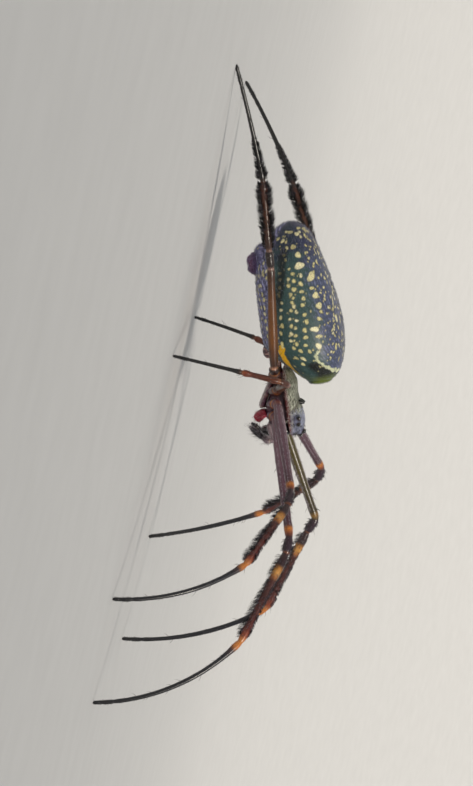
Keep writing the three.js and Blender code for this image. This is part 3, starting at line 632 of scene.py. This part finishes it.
def build_carapace():
    rows, sides = 150, 160
    share = np.linspace(0.004, 1, rows)
    low, high, half = spline(CARAPACE_SHAPE, share).T
    x = CARAPACE_LENGTH * share
    rings = upright_rings(np.column_stack([x, low, high, half, 0 * x + CARAPACE_RIM]), sides, 2.2)
    front = np.linspace(1, 0.04, 14)[1:, None]
    nose = rings[-1:] * 1.0
    centre = nose.mean(1, keepdims=True)
    bulge = np.sqrt(1 - front ** 2)[..., None] * np.array([0.28, 0, 0])
    rings = np.concatenate([rings, centre + (nose - centre) * front[..., None] + bulge])
    bx, by, bz = rings[..., 0], rings[..., 1], rings[..., 2]
    top = smooth(bz, CARAPACE_RIM + 0.1, CARAPACE_RIM + 0.5)
    pit = 0.26 * near(bx, FOVEA, 0.5) * near(by, 0, 0.42)
    flare = np.interp(bx, [3.4, 4.6, 6.0], [0.3, 1.7, 2.5])
    neck = 0.14 * near(np.abs(by), flare, 0.26) * smooth(bx, 3.2, 3.8) * (1 - smooth(bx, 5.6, 6.2))
    turn = np.degrees(np.arctan2(np.abs(by), bx - FOVEA))
    rays = 0.05 * near((turn - 50) % 34, 17, 5) * smooth(np.hypot(bx - FOVEA, by), 0.7, 1.4) * (bx < 5.2)
    sink = (pit + neck + rays) * top
    surface = Surface(from_body(rings))
    surface.rings = surface.rings - surface.normal * (sink + 0.02)[..., None]
    cloud = ripple(bx, by, 1.4, 41)
    rim = near(bz, CARAPACE_RIM + 0.02, 0.17) * (np.abs(by) > 0.6)
    hue = np.broadcast_to(linear("#9C9F8A"), bx.shape + (3,))
    mottle = ripple(bx, by * 1.2 + bz, 0.7, 49)
    hue = blend(hue, "#36372B", smooth(mottle, 0.08, 0.3) * 0.85)
    hue = blend(hue, "#D2D3C6", smooth(-mottle, 0.12, 0.35) * 0.7)
    hue = blend(hue, "#A2A7C6", smooth(bx + cloud * 0.4, 5.5, 6.9) * 0.92)
    hue = blend(hue, "#4A4E68", smooth(mottle, 0.25, 0.7) * smooth(bx, 5.5, 6.9) * 0.5)
    # painted shade: darker brown in the pit and grooves, the deeper they sink the darker
    hue = blend(hue, "#4B3A32", np.clip(sink * 5, 0, 1))
    hue = blend(hue, "#5A1F22", 1 - top)
    hue = blend(hue, "#6E2C2E", rim * 0.6)
    for ex, ey in ((6.75, 2.42), (7.55, 2.45)):
        hue = blend(hue, "#08080A", near(bx, ex, 0.42) * near(np.abs(by), ey - 0.35, 0.6) * top)
    hue = blend(hue, "#0C0C10", smooth(bx, 8.5, 8.75) * (np.abs(by) < 1.6) * (bz > -0.2))
    hue = blend(hue, "#7E8496", near(bx, 8.7, 0.3) * (bz < -0.2) * 0.6)
    shield = skin_piece("carapace", surface, downy_carapace, hue)
    trunk = build_trunk()
    body = joined("carapace", [shield, trunk])
    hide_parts("cephalothorax")
    upper = lambda u, v: ((v > 0.02) & (v < 0.48) & (u < 0.93)) * 1.0
    place = surface.sow(CARAPACE_DOWN, 42, upper)
    ahead = np.asarray(place[0])[:, None] > 0.58
    dark = (np.random.default_rng(46).random(CARAPACE_DOWN) < 0.3)[:, None]
    tone = np.where(dark, linear("#2A2B22"), np.where(ahead, linear("#CDD0E6"), linear("#C9CBBB")))
    down = hairs(surface, place, 0.36, 14, 0.026, tone, 43, lie=-1, sway=20)
    at_rim = lambda u, v: (((v < 0.035) | (np.abs(v - 0.5) < 0.035)) & (u < 0.9)) * 1.0
    place = surface.sow(700, 44, at_rim)
    fringe = hairs(surface, place, 0.38, 22, 0.036, linear("#E6E0DC"), 45, lie=-1, sway=25)
    on_face = lambda u, v: ((u > 0.8) & (u < 0.97) & (v > 0.05) & (v < 0.45)) * 1.0
    place = surface.sow(260, 47, on_face)
    whiskers = hairs(surface, place, 0.55, 50, 0.022, linear("#3A3A40"), 48, sway=20)
    coat = coat_piece("carapace_down_hair", [down, fringe, whiskers])


def build_trunk():
    """The underside that carries the legs. Its colour shows only between them."""
    share = np.linspace(0, 1, 40)
    low, half = spline(TRUNK_SHAPE, share).T
    x = TRUNK_REAR + (TRUNK_FRONT - TRUNK_REAR) * share
    rings = upright_rings(np.column_stack([x, low, 0 * x, half, (low + 0) / 2]), 48, 3)
    surface = Surface(from_body(rings))
    return skin_piece("trunk", surface, limb_chitin, linear("#4A2436"))


def build_eyes_and_horns():
    # for each group, the mounds as (centre, size), and the eyes as (x, y, z, radius)
    groups = {"eyes_median": (
        [((8.5, 0, 0.68), (0.74, 0.88, 0.62))],
        [(9.1, 0.34, 0.72, 0.26), (9.1, -0.34, 0.72, 0.26),
         (8.7, 0.45, 1.2, 0.27), (8.7, -0.45, 1.2, 0.27)])}
    for name, sign in SIDES.items():
        groups[f"eyes_lateral_{name}"] = (
            [((7.15, sign * 2.0, 0.6), (0.78, 0.62, 0.55))],
            [(7.55, sign * 2.45, 0.72, 0.26), (6.75, sign * 2.42, 0.85, 0.26)])
    for name, (mounds, eyes) in groups.items():
        parts = []
        for mound in mounds:
            bulge = ball_rings(*mound, 20, 30)
            # the skin is black round each eye
            black = 0
            for *place, radius in eyes:
                black = black + near(np.linalg.norm(bulge - np.array(place), axis=-1), 0, radius * 1.7, 4)
            tone = blend(linear("#9A9FBE"), "#0B0A0C", np.clip(black, 0, 1))
            parts.append(skin_piece("mound", Surface(from_body(bulge)), downy_carapace, tone))
        for *place, radius in eyes:
            place = np.array(place)
            socket = Surface(from_body(ball_rings(place, (radius * 1.06,) * 3, 12, 20)))
            parts.append(skin_piece("socket", socket, jaw_chitin, linear("#3A1E14")))
            out = unit(place - np.array(mounds[0][0]))
            lens = Surface(from_body(ball_rings(place + out * 0.06, (radius,) * 3, 16, 24)))
            parts.append(skin_piece("lens", lens, eye_lens, linear("#060608")))
        piece = joined(name, parts)
        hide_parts(name)
    for name, sign in SIDES.items():
        path = [(4.6, sign * 0.95, 0.75), (4.72, sign * 0.95, 1.25), (4.93, sign * 0.95, 1.8)]
        rings = bent_rings(path, [(0, 0.4), (0.5, 0.3), (0.85, 0.15), (1, 0.05)], (0, 1, 0), 24, 18)
        piece = skin_piece(f"horn_{name}", Surface(from_body(rings)), bristle, linear("#12110F"))
        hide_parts(f"horn_{name}")


def build_mouthparts():
    for name, sign in SIDES.items():
        path = [(8.12, sign * 0.97, -0.55), (8.3, sign * 0.97, -2.2), (7.9, sign * 0.97, -4.45)]
        girth = [(0, 0.56, 0.6), (0.12, 0.7, 0.74), (0.35, 0.74, 0.8), (0.65, 0.68, 0.68),
                 (0.9, 0.54, 0.5), (1, 0.4, 0.36)]
        surface = Surface(from_body(bent_rings(path, girth, (0, 1, 0), 44, 30)))
        jaw = skin_piece(f"chelicera_{name}", surface, jaw_chitin, linear("#0B0A0E"))
        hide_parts(f"chelicera_{name}")
        place = surface.sow(240, 51 + sign, lambda u, v: (u > 0.1) * (u < 0.97) * (0.3 + u))
        fuzz = hairs(surface, place, 0.42, 38, 0.022, linear("#B9B3BC"), 53, sway=18)
        coat_piece(f"chelicera_{name}_hair", [fuzz])
        z = -4.93  # just under the end of the jaw
        path = [(7.95, sign * 1.27, z), (7.65, sign * 0.67, z - 0.25), (7.05, sign * 0.4, z + 0.05)]
        rings = bent_rings(path, [(0, 0.27), (0.3, 0.26), (0.7, 0.17), (1, 0.05)], (0, 0, 1), 26, 16)
        fang = skin_piece(f"fang_{name}", Surface(from_body(rings)), jaw_chitin, linear("#1C0D0C"))
        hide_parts(f"fang_{name}")
        path = [(5.65, sign * 0.98, -3.4), (5.9, sign * 1.0, -4.15), (6.5, sign * 0.92, -5.0)]
        girth = [(0, 0.42, 0.5), (0.35, 0.55, 0.56), (0.75, 0.66, 0.62), (0.95, 0.5, 0.46), (1, 0.3, 0.3)]
        surface = Surface(from_body(bent_rings(path, girth, (0, 1, 0), 34, 26)))
        lobe = skin_piece(f"maxilla_{name}", surface, soft_chitin, linear("#A8283F"))
        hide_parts(f"maxilla_{name}")
        fuzz = hairs(surface, surface.sow(190, 55 + sign), 0.34, 40, 0.022, linear("#D8BFC4"), 57)
        coat_piece(f"maxilla_{name}_hair", [fuzz])
    path = [(5.3, 0, -3.7), (5.5, 0, -4.2), (5.85, 0, -4.65)]
    girth = [(0, 0.3, 0.22), (0.4, 0.34, 0.27), (0.8, 0.28, 0.26), (1, 0.2, 0.2)]
    rings = bent_rings(path, girth, (0, 1, 0), 22, 18)
    lip = skin_piece("labium", Surface(from_body(rings)), soft_chitin, linear("#7B1C30"))
    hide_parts("labium")
    share = np.linspace(0, 1, 44)
    half = spline([(0, 0.2), (0.12, 0.8), (0.35, 1.35), (0.65, 1.5), (0.88, 1.25), (1, 0.6)], share)
    x = 1.5 + 3.5 * share
    under = spline(TRUNK_SHAPE, (x - TRUNK_REAR) / (TRUNK_FRONT - TRUNK_REAR))[..., 0] - 0.26
    top = under + 0.25
    stations = np.column_stack([x, under - 0.55, top, half, under - 0.2])
    surface = Surface(from_body(upright_rings(stations, 40, 2.4)))
    patches = smooth(ripple(surface.rings[..., 0], surface.rings[..., 1], 1.5, 60), 0, 0.8)
    tone = blend(linear("#6B4354"), "#B98A84", patches)
    plate = skin_piece("sternum", surface, soft_chitin, tone)
    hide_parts("sternum")
    place = surface.sow(700, 61, lambda u, v: (v > 0.5) * 1.0)
    fuzz = hairs(surface, place, 0.42, 38, 0.026, linear("#E5DCDC"), 62, lie=-1)
    coat_piece("sternum_hair", [fuzz])
    path = [(-2.6, 0, -0.9), (-0.9, 0, -1.25), (1.4, 0, -1.3)]
    girth = [(0, 0.74), (0.35, 0.54), (0.65, 0.54), (1, 0.68)]
    rings = bent_rings(path, girth, (0, 1, 0), 30, 24, False, False)
    stalk = skin_piece("pedicel", Surface(from_body(rings)), limb_chitin, linear("#5A3024"))
    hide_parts("pedicel")


def build_spinnerets():
    violet, wine = linear("#4A3560"), "#6A2448"
    share = np.linspace(0, 1, 30)
    half = spline([(0, 1.72), (0.3, 1.5), (0.7, 1.12), (0.9, 0.8), (1, 0.4)], share)[:, None]
    around = np.arange(40) / 40 * 2 * math.pi
    fold = 1 + 0.03 * np.sin(share * 22)[:, None]
    x = -14.15 + 0.05 * share[:, None] + half * np.cos(around) * fold
    y = half * 0.95 * np.sin(around) * fold
    z = (-2.5 - 1.15 * share)[:, None] + 0 * around
    surface = Surface(from_body(np.stack([x, y, z], -1)))
    tone = blend(violet, wine, smooth(share, 0.2, 0.9)[:, None])
    parts = [skin_piece("mound", surface, soft_chitin, tone)]
    place = surface.sow(1100, 71, lambda u, v: (u > 0.15) * 1.0)
    coats = [hairs(surface, place, 0.36, 36, 0.026, linear("#8C7AA0"), 72)]
    tubes = [(-13.62, 0.42, 0.12), (-13.62, -0.42, 0.12), (-14.6, 0.46, 0.02), (-14.6, -0.46, 0.02),
             (-14.95, 0, 0.1)]
    for n, (x, y, lean) in enumerate(tubes):
        path = [(x, y, -2.6), (x + lean * 0.5, y * 0.85, -3.15), (x + lean, y * 0.6, -3.72)]
        rings = bent_rings(path, [(0, 0.5), (0.5, 0.47), (0.85, 0.34), (1, 0.2)], (0, 1, 0), 24, 18)
        tube = Surface(from_body(rings))
        tone = blend(violet, wine, smooth(np.linspace(0, 1, 24), 0.3, 0.9)[:, None])
        parts.append(skin_piece("tube", tube, soft_chitin, tone))
        place = tube.sow(220, 73 + n, lambda u, v: (u > 0.3) * 1.0)
        coats.append(hairs(tube, place, 0.26, 34, 0.024, linear("#A090B4"), 80 + n))
    piece = joined("spinnerets", parts)
    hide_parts("spinnerets")
    coat_piece("spinneret_hair", coats)


def build_palps():
    for name, sign in SIDES.items():
        path = [(7.0, sign * 2.1, -3.3), (8.2, sign * 2.45, -2.95), (9.1, sign * 2.55, -2.8),
                (9.3, sign * 2.55, -3.35), (8.55, sign * 2.45, -4.45), (7.1, sign * 2.25, -5.8)]
        girth = [(0, 0.3), (0.06, 0.38), (0.18, 0.39), (0.3, 0.34), (0.335, 0.28), (0.36, 0.37),
                 (0.41, 0.39), (0.455, 0.28), (0.48, 0.36), (0.55, 0.36), (0.62, 0.27), (0.65, 0.33),
                 (0.78, 0.35), (0.92, 0.3), (1, 0.18)]
        surface = Surface(from_body(bent_rings(path, girth, (0, 1, 0), 110, 24)))
        # grey with dark lengthwise lines, pale joints and a black end
        share = np.linspace(0, 1, 110)[:, None]
        around = (np.arange(24) / 24)[None]
        tone = blend(linear("#A08A90"), "#4A3038", (np.sin(around * 12 * math.pi) > 0.5) * 0.6)
        tone = blend(tone, "#D9C4B4", sum(near(share, joint, 0.012) for joint in (0.335, 0.455, 0.62)))
        tone = blend(tone, "#15121C", smooth(share, 0.5, 0.66))
        palp = skin_piece(f"palp_{name}", surface, limb_chitin, tone)
        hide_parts(f"palp_{name}")
        fine = hairs(surface, surface.sow(800, 90 + sign), 0.32, 34, 0.022, linear("#BDB4BC"), 92)
        place = surface.sow(90, 94 + sign, lambda u, v: (u > 0.25) * 1.0)
        long_ones = hairs(surface, place, 0.85, 48, 0.035, linear("#57505A"), 96, sag=0.35)
        coat_piece(f"palp_{name}_hair", [fine, long_ones])


# Legs


GIRTHS = {  # half thickness along each segment of a leg of stoutness 1
    "coxa": [(0, 0.58, 0.8), (0.3, 0.68, 0.96), (0.7, 0.72, 0.86), (0.92, 0.68, 0.74), (1, 0.56, 0.58)],
    "trochanter": [(0, 0.56, 0.58), (0.25, 0.66, 0.68), (0.75, 0.66, 0.66), (1, 0.5, 0.5)],
    "femur": [(0, 0.48), (0.05, 0.56), (0.22, 0.69), (0.5, 0.64), (0.85, 0.54), (0.95, 0.57), (1, 0.46)],
    "patella": [(0, 0.44), (0.12, 0.54), (0.5, 0.59), (0.85, 0.56), (1, 0.4)],
    "tibia": [(0, 0.4), (0.04, 0.5), (0.35, 0.5), (0.75, 0.46), (0.94, 0.54), (1, 0.38)],
    "metatarsus": [(0, 0.34), (0.04, 0.45), (0.12, 0.38), (0.5, 0.32), (0.92, 0.28), (0.98, 0.28),
                   (1, 0.24)],
    "tarsus": [(0, 0.24), (0.06, 0.26), (0.6, 0.25), (0.92, 0.22), (1, 0.18)],
}
# Colours along each segment, for the front two pairs, the third and the fourth
FRONT_LEG = {
    "coxa": [(0, "#3A2A54"), (0.6, "#5A3044"), (0.9, "#4E2230"), (0.95, "#C9781E"), (1, "#D98A24")],
    "trochanter": [(0, "#D98A24"), (0.1, "#6A3F4A"), (0.85, "#6E4450"), (1, "#8A5040")],
    "femur": [(0, "#8A5040"), (0.03, "#74545E"), (0.3, "#6E4E5C"), (0.75, "#573644"), (0.9, "#472832"),
              (0.935, "#C27424"), (0.965, "#8A4420"), (1, "#341C22")],
    "patella": [(0, "#341C22"), (0.1, "#321A28"), (0.85, "#2A1624"), (0.95, "#7A4224"), (1, "#4A2418")],
    "tibia": [(0, "#3A1E1C"), (0.13, "#2E181E"), (0.17, "#B0752F"), (0.22, "#C8924A"), (0.27, "#A0622C"),
              (0.31, "#4A2018"), (0.5, "#4A1E18"), (0.85, "#5C241C"), (0.93, "#92462A"),
              (0.97, "#BE6E34"), (1, "#C47E40")],
    "metatarsus": [(0, "#D07C30"), (0.05, "#C87A34"), (0.09, "#3A2428"), (0.15, "#14141F"), (1, "#0C0C13")],
    "tarsus": [(0, "#16141A"), (0.08, "#0C0C12"), (1, "#09090D")],
}
THIRD_LEG = {
    "coxa": [(0, "#3A1A20"), (0.9, "#4A2018"), (1, "#A86A38")],
    "trochanter": [(0, "#8A5028"), (0.2, "#3C180E"), (1, "#4A2210")],
    "femur": [(0, "#4A2210"), (0.06, "#42200C"), (0.6, "#5A3210"), (0.95, "#48240E"), (1, "#7A4420")],
    "patella": [(0, "#7A4420"), (0.12, "#52260F"), (0.9, "#48200E"), (1, "#8A5028")],
    "tibia": [(0, "#8A5028"), (0.08, "#5C2A12"), (0.7, "#552410"), (0.95, "#7A3414"), (1, "#A05A2A")],
    "metatarsus": [(0, "#5A3420"), (0.08, "#14110F"), (1, "#0B0B0D")],
    "tarsus": [(0, "#141012"), (0.1, "#0A0A0D"), (1, "#08080A")],
}
HIND_LEG = {
    "coxa": [(0, "#32120F"), (0.9, "#3E1812"), (1, "#9A6038")],
    "trochanter": [(0, "#9A6038"), (0.2, "#2C120D"), (0.9, "#30140D"), (1, "#B88468")],
    # the hind femur's amber middle is partly its own brown and partly painted glow of light shining through
    # the leg
    "femur": [(0, "#B88468"), (0.025, "#3A1C0A"), (0.3, "#70400C"), (0.65, "#64390C"),
              (0.97, "#34190A"), (1, "#A88474")],
    "patella": [(0, "#7A5648"), (0.1, "#24110B"), (0.92, "#22110C"), (1, "#A88474")],
    "tibia": [(0, "#7A5648"), (0.05, "#341A0E"), (0.5, "#4E2810"), (0.9, "#421D0E"),
              (0.98, "#2C120B"), (1, "#5A3420")],
    "metatarsus": [(0, "#442618"), (0.04, "#15100E"), (1, "#0A090B")],
    "tarsus": [(0, "#121011"), (0.1, "#08080A"), (1, "#070709")],
}
LEG_COLOURS = {1: FRONT_LEG, 2: FRONT_LEG, 3: THIRD_LEG, 4: HIND_LEG}
# The far left front femur: its brown with painted light shining through it, which turns it olive
BACKLIT_FAR_FEMUR = [(0, "#5A4A20"), (0.05, "#4A4012"), (0.6, "#4E4212"), (0.92, "#3A3010"), (0.96, "#8A6420"),
             (1, "#3E3018")]


def leg_joints(pair, side):
    """The joints of one leg, from the trunk to the floor."""
    root, hip, femur, patella, tibia, arc, _ = LEGS[pair]
    heading, femur_up, patella_up, tibia_up, curl = STANCES[side][pair]
    sign = SIDES[side]
    mirror = np.array([1, sign, 1])
    root, hip = (from_body(np.array(p) * mirror) for p in (root, hip))
    out = np.array([math.cos(math.radians(heading)), sign * math.sin(math.radians(heading)), 0])

    def step(start, length, up):
        up = math.radians(up)
        return start + length * (out * math.cos(up) + np.array([0, 0, math.sin(up)]))

    knee = step(hip, femur, femur_up)
    shin = step(knee, patella, patella_up)
    ankle = step(shin, tibia, tibia_up)
    # metatarsus and tarsus bow evenly, and start as steeply as brings the tip down to the floor
    steep, flat = -110.0 + curl, 0.0
    for _ in range(40):
        first = (steep + flat) / 2
        bow = [ankle]
        for n in range(10):
            bow.append(step(bow[-1], arc / 10, first - curl * (n + 0.5) / 10))
        if bow[-1][2] > 0:
            flat = first
        else:
            steep = first
    return root, hip, knee, shin, ankle, bow[1:], np.cross([0, 0, 1], out)


def leg_surface(pair, side):
    """One skin from coxa to claw, and for each ring its segment and the share along it."""
    root, hip, knee, shin, ankle, bow, across = leg_joints(pair, side)
    stout = LEGS[pair][-1]
    split = root + (hip - root) * COXA_SHARE
    corners = [root, split, hip, knee, shin, ankle, *bow]
    reach = np.concatenate([[0], np.cumsum(np.linalg.norm(np.diff(corners, axis=0), axis=1))])
    total = reach[-1]
    rows = int(total / 0.14)
    at = np.linspace(0, total, rows)
    path = np.column_stack([np.interp(at, reach, np.array(corners)[:, k]) for k in range(3)])
    kernel = np.exp(-0.5 * (np.arange(-8, 9) * total / rows / 0.32) ** 2)
    before = 2 * path[:1] - path[8:0:-1]
    after = 2 * path[-1:] - path[-2:-10:-1]
    padded = np.concatenate([before, path, after])
    path = np.column_stack([np.convolve(padded[:, k], kernel / kernel.sum(), "valid") for k in range(3)])
    joints = [*reach[:6], total - TARSUS[pair], total]
    ends = {name: joints[n:n + 2] for n, name in enumerate(GIRTHS)}
    size = np.zeros((rows, 2))
    hue = np.zeros((rows, 3))
    colours = LEG_COLOURS[pair]
    for name, (start, end) in ends.items():
        inside = (at >= start - 1e-9) & (at <= end + 1e-9)
        share = (at[inside] - start) / (end - start)
        girth = np.array([(g[0], g[1], g[-1]) for g in GIRTHS[name]])
        scale = math.sqrt(stout) if name in ("coxa", "trochanter") else stout
        size[inside] = spline(girth, share) * scale
        table = BACKLIT_FAR_FEMUR if (name == "femur" and pair == 1 and side == "left") else colours[name]
        places, tones = [c[0] for c in table], np.array([linear(c[1]) for c in table])
        hue[inside] = np.column_stack([np.interp(share, places, tones[:, k]) for k in range(3)])
    toe = np.clip((total - at) / 0.22, 0, 1)
    size *= np.sqrt(np.clip(1 - (1 - toe) ** 2, 0.01, 1))[:, None]
    first = unit(path[1] - path[0])
    rings = rings_on(path, size, across if abs(across @ first) < 0.9 else (1, 0, 0), 22)
    rings[..., 2] = np.maximum(rings[..., 2], FLOOR_CLEARANCE)
    return Surface(rings), ends, total, hue


def build_leg(pair, side):
    surface, ends, total, band = leg_surface(pair, side)
    rows, sides = surface.rings.shape[:2]
    seed = pair * 20 + (side == "left") * 10
    around = np.arange(sides) / sides
    # lengthwise lines, about nine times as long as they are wide
    along = np.linspace(0, total / 9, rows)[:, None] + 0 * around
    lines = ripple(np.broadcast_to(around * 9, (rows, sides)), along, 1.6, seed)
    hue = band[:, None] * (1 + 0.28 * lines[..., None])
    name = f"leg{pair}_{side}"
    skin = skin_piece(f"{name}_skin", surface, limb_chitin, np.clip(hue, 0, 1))
    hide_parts(*(f"{name}_{part}" for part in
                        ("coxa", "femur", "patella", "tibia", "metatarsus_tarsus")))
    down = surface.normal[..., 2].mean(0)
    below = int(np.argmin(down)) / sides

    def between(first, last, start=0.0, end=1.0):
        low = ends[first][0] + (ends[first][1] - ends[first][0]) * start
        high = ends[last][0] + (ends[last][1] - ends[last][0]) * end
        return lambda u, v: ((u * total >= low) & (u * total <= high)) * 1.0

    pale, dark = linear("#D8D2D6"), linear("#141216")
    batches = []
    count = int(total * 26)
    fine = surface.sow(count, seed + 1, between("coxa", "tarsus"))
    beyond = (np.asarray(fine[0]) * total > ends["metatarsus"][0] + 1.0)
    darkness = np.where(beyond, 0.75, 0.35) if pair < 3 else 0.8
    is_dark = np.random.default_rng(seed + 2).random(count) < darkness
    tone = np.where(is_dark[:, None], dark, pale * 0.6)
    batches.append(hairs(surface, fine, np.where(beyond, 0.26, 0.34), 26, 0.02, tone, seed + 3, sway=14))
    if pair < 3:
        # fine grey hair lies in stripes along the femur
        femur = between("femur", "femur", 0.03, 0.9)
        combed = surface.sow(1900, seed + 16, lambda u, v: femur(u, v) * (np.cos(v * 14 * math.pi) > 0.35))
        batches.append(hairs(surface, combed, 0.32, 9, 0.024, linear("#C0B4C0"), seed + 17, sway=5))
    # brushes: where, how many bristles, and their length under and over the leg
    if pair == 4:
        brush = [(between("tibia", "tibia", 0.03, 0.97), 2400, 0.95, 0.95),
                 (between("metatarsus", "metatarsus", 0.02, 0.45), 1300, 0.55, 0.55)]
    elif pair in (1, 2):
        brush = [(between("tibia", "tibia", 0.28, 0.95), 1700, 1.0, 0.34),
                 (between("tibia", "tibia", 0.02, 0.3), 420, 0.75, 0.12),
                 (between("patella", "patella", 0.1, 0.9), 160, 0.5, 0.25)]
    else:
        brush = []
    for n, (where, amount, under, over) in enumerate(brush):
        tuft, rng = 4, np.random.default_rng(seed + 5 + n)
        comb = lambda u, v: where(u, v) * (0.06 + np.abs(np.cos((v - below) * 2 * math.pi)) ** 1.6)
        u, v = surface.sow(amount // tuft, seed + 4 + n, comb)
        u, v = np.repeat(u, tuft), np.repeat(v, tuft)
        toward = (np.cos((v - below) * 2 * math.pi) + 1) / 2
        first, last = np.quantile(u, 0.005), np.quantile(u, 0.995)
        share = (u - first) / (last - first)
        length = (over + (under - over) * toward) * (1 - 0.5 * smooth(share, 0.8, 1))
        if n == 0:
            length = length * (0.4 + 0.6 * smooth(share, 0, 0.4))
        if pair == 4 and n == 1:
            start, end = ends["metatarsus"]
            length = length * (1.25 - 0.75 * (u * total - start) / (0.45 * (end - start)))
        place = u + rng.normal(0, 0.05, len(u)) / total, v + rng.normal(0, 0.012, len(v))
        grey = rng.random(len(u)) < (0.22 if pair < 3 else 0.06)
        tone = np.where(grey[:, None], linear("#6E6474"), linear("#0A080D"))
        width = 0.044 if pair == 4 else 0.036
        batches.append(hairs(surface, place, length, 56, width, tone, seed + 7 + n,
                             sway=9, sag=0.35, spread=0.32))
    spiny = surface.sow(46 if pair != 3 else 26, seed + 12, between("femur", "metatarsus", 0.1, 0.9))
    batches.append(hairs(surface, spiny, 0.8, 42, 0.06, linear("#1A1618"), seed + 13, sway=8, sag=0.3))
    pads = surface.sow(120, seed + 14, between("tarsus", "tarsus", 0.1, 0.97))
    batches.append(hairs(surface, pads, 0.24, 34, 0.026, dark, seed + 15))
    coat = coat_piece(f"{name}_bristles", batches)
    # no hair goes into the floor
    points = np.empty(len(coat.data.vertices) * 3, np.float32)
    coat.data.vertices.foreach_get("co", points)
    points[2::3] = np.maximum(points[2::3], FLOOR_CLEARANCE * MM)
    coat.data.vertices.foreach_set("co", points)


# Stage: a wide pale dish whose floor is flat under the spider and far around it


def build_stage():
    flat, edge = 0.6, 3.6  # metres from the middle
    profile = [(r, 0.0) for r in np.linspace(0.0005, flat, 16)]
    profile += [(r, 0.32 * (r - flat) ** 2) for r in np.linspace(flat + 0.05, edge, 40)]
    a = np.arange(96) / 96 * 2 * math.pi
    r, h = np.array(profile).T
    rings = np.stack([r[:, None] * np.cos(a), r[:, None] * np.sin(a), h[:, None] + 0 * a], -1)
    mesh = bpy.data.meshes.new("floor")
    faces = closed_faces(*rings.shape[:2])
    points = np.concatenate([rings.reshape(-1, 3), [[0, 0, 0]]])
    fan = faces[1][:len(a)]
    mesh.from_pydata(points.tolist(), [], faces[0].tolist() + fan.tolist())
    mesh.shade_smooth()
    material = bpy.data.materials.new("pale matt paper")
    material.use_nodes = True
    shader = material.node_tree.nodes["Principled BSDF"]
    shader.inputs["Roughness"].default_value = 0.95
    shader.inputs["Specular IOR Level"].default_value = 0.1
    tree = material.node_tree
    fibre = add_node(tree, "ShaderNodeTexNoise", None, {"Scale": 900.0, "Detail": 2.0})
    shade = add_node(tree, "ShaderNodeMapRange", None,
                     {"Value": fibre.outputs["Fac"], "To Min": 0.58, "To Max": 0.63})
    tree.links.new(shade.outputs["Result"], shader.inputs["Base Color"])
    mesh.materials.append(material)
    floor = bpy.data.objects.new("floor", mesh)
    bpy.context.scene.collection.objects.link(floor)


def add_sun(name, place, energy, angle, colour):
    """A sun that shines from a place toward the spider. angle is how soft it is, in degrees."""
    lamp = bpy.data.lights.new(name, "SUN")
    lamp.energy = energy
    lamp.color = linear(colour)
    lamp.angle = math.radians(angle)
    light = bpy.data.objects.new(name, lamp)
    light.location = place
    light.rotation_euler = (Vector((0, 0, 0.01)) - Vector(place)).to_track_quat("-Z", "Y").to_euler()
    bpy.context.scene.collection.objects.link(light)


def set_lights():
    add_sun("key sun", (0.25, -0.8, 0.7), 2.9, 12, "#FFF6E8")
    add_sun("belly fill", (-0.5, -0.9, 0.12), 0.5, 40, "#E6EAFF")
    add_sun("rim sun", (-0.2, 0.75, 0.6), 0.35, 25, "#FFF2DC")
    world = bpy.data.worlds.new("studio")
    world.use_nodes = True
    world.node_tree.nodes["Background"].inputs["Color"].default_value = (*linear("#E9EEF2"), 1)
    world.node_tree.nodes["Background"].inputs["Strength"].default_value = 0.5
    bpy.context.scene.world = world
    bpy.context.scene.view_settings.view_transform = "Standard"


def main():
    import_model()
    set_camera()
    build_abdomen()
    build_carapace()
    build_eyes_and_horns()
    build_mouthparts()
    build_spinnerets()
    build_palps()
    for side in SIDES:
        for pair in LEGS:
            build_leg(pair, side)
    build_stage()
    set_lights()


main()
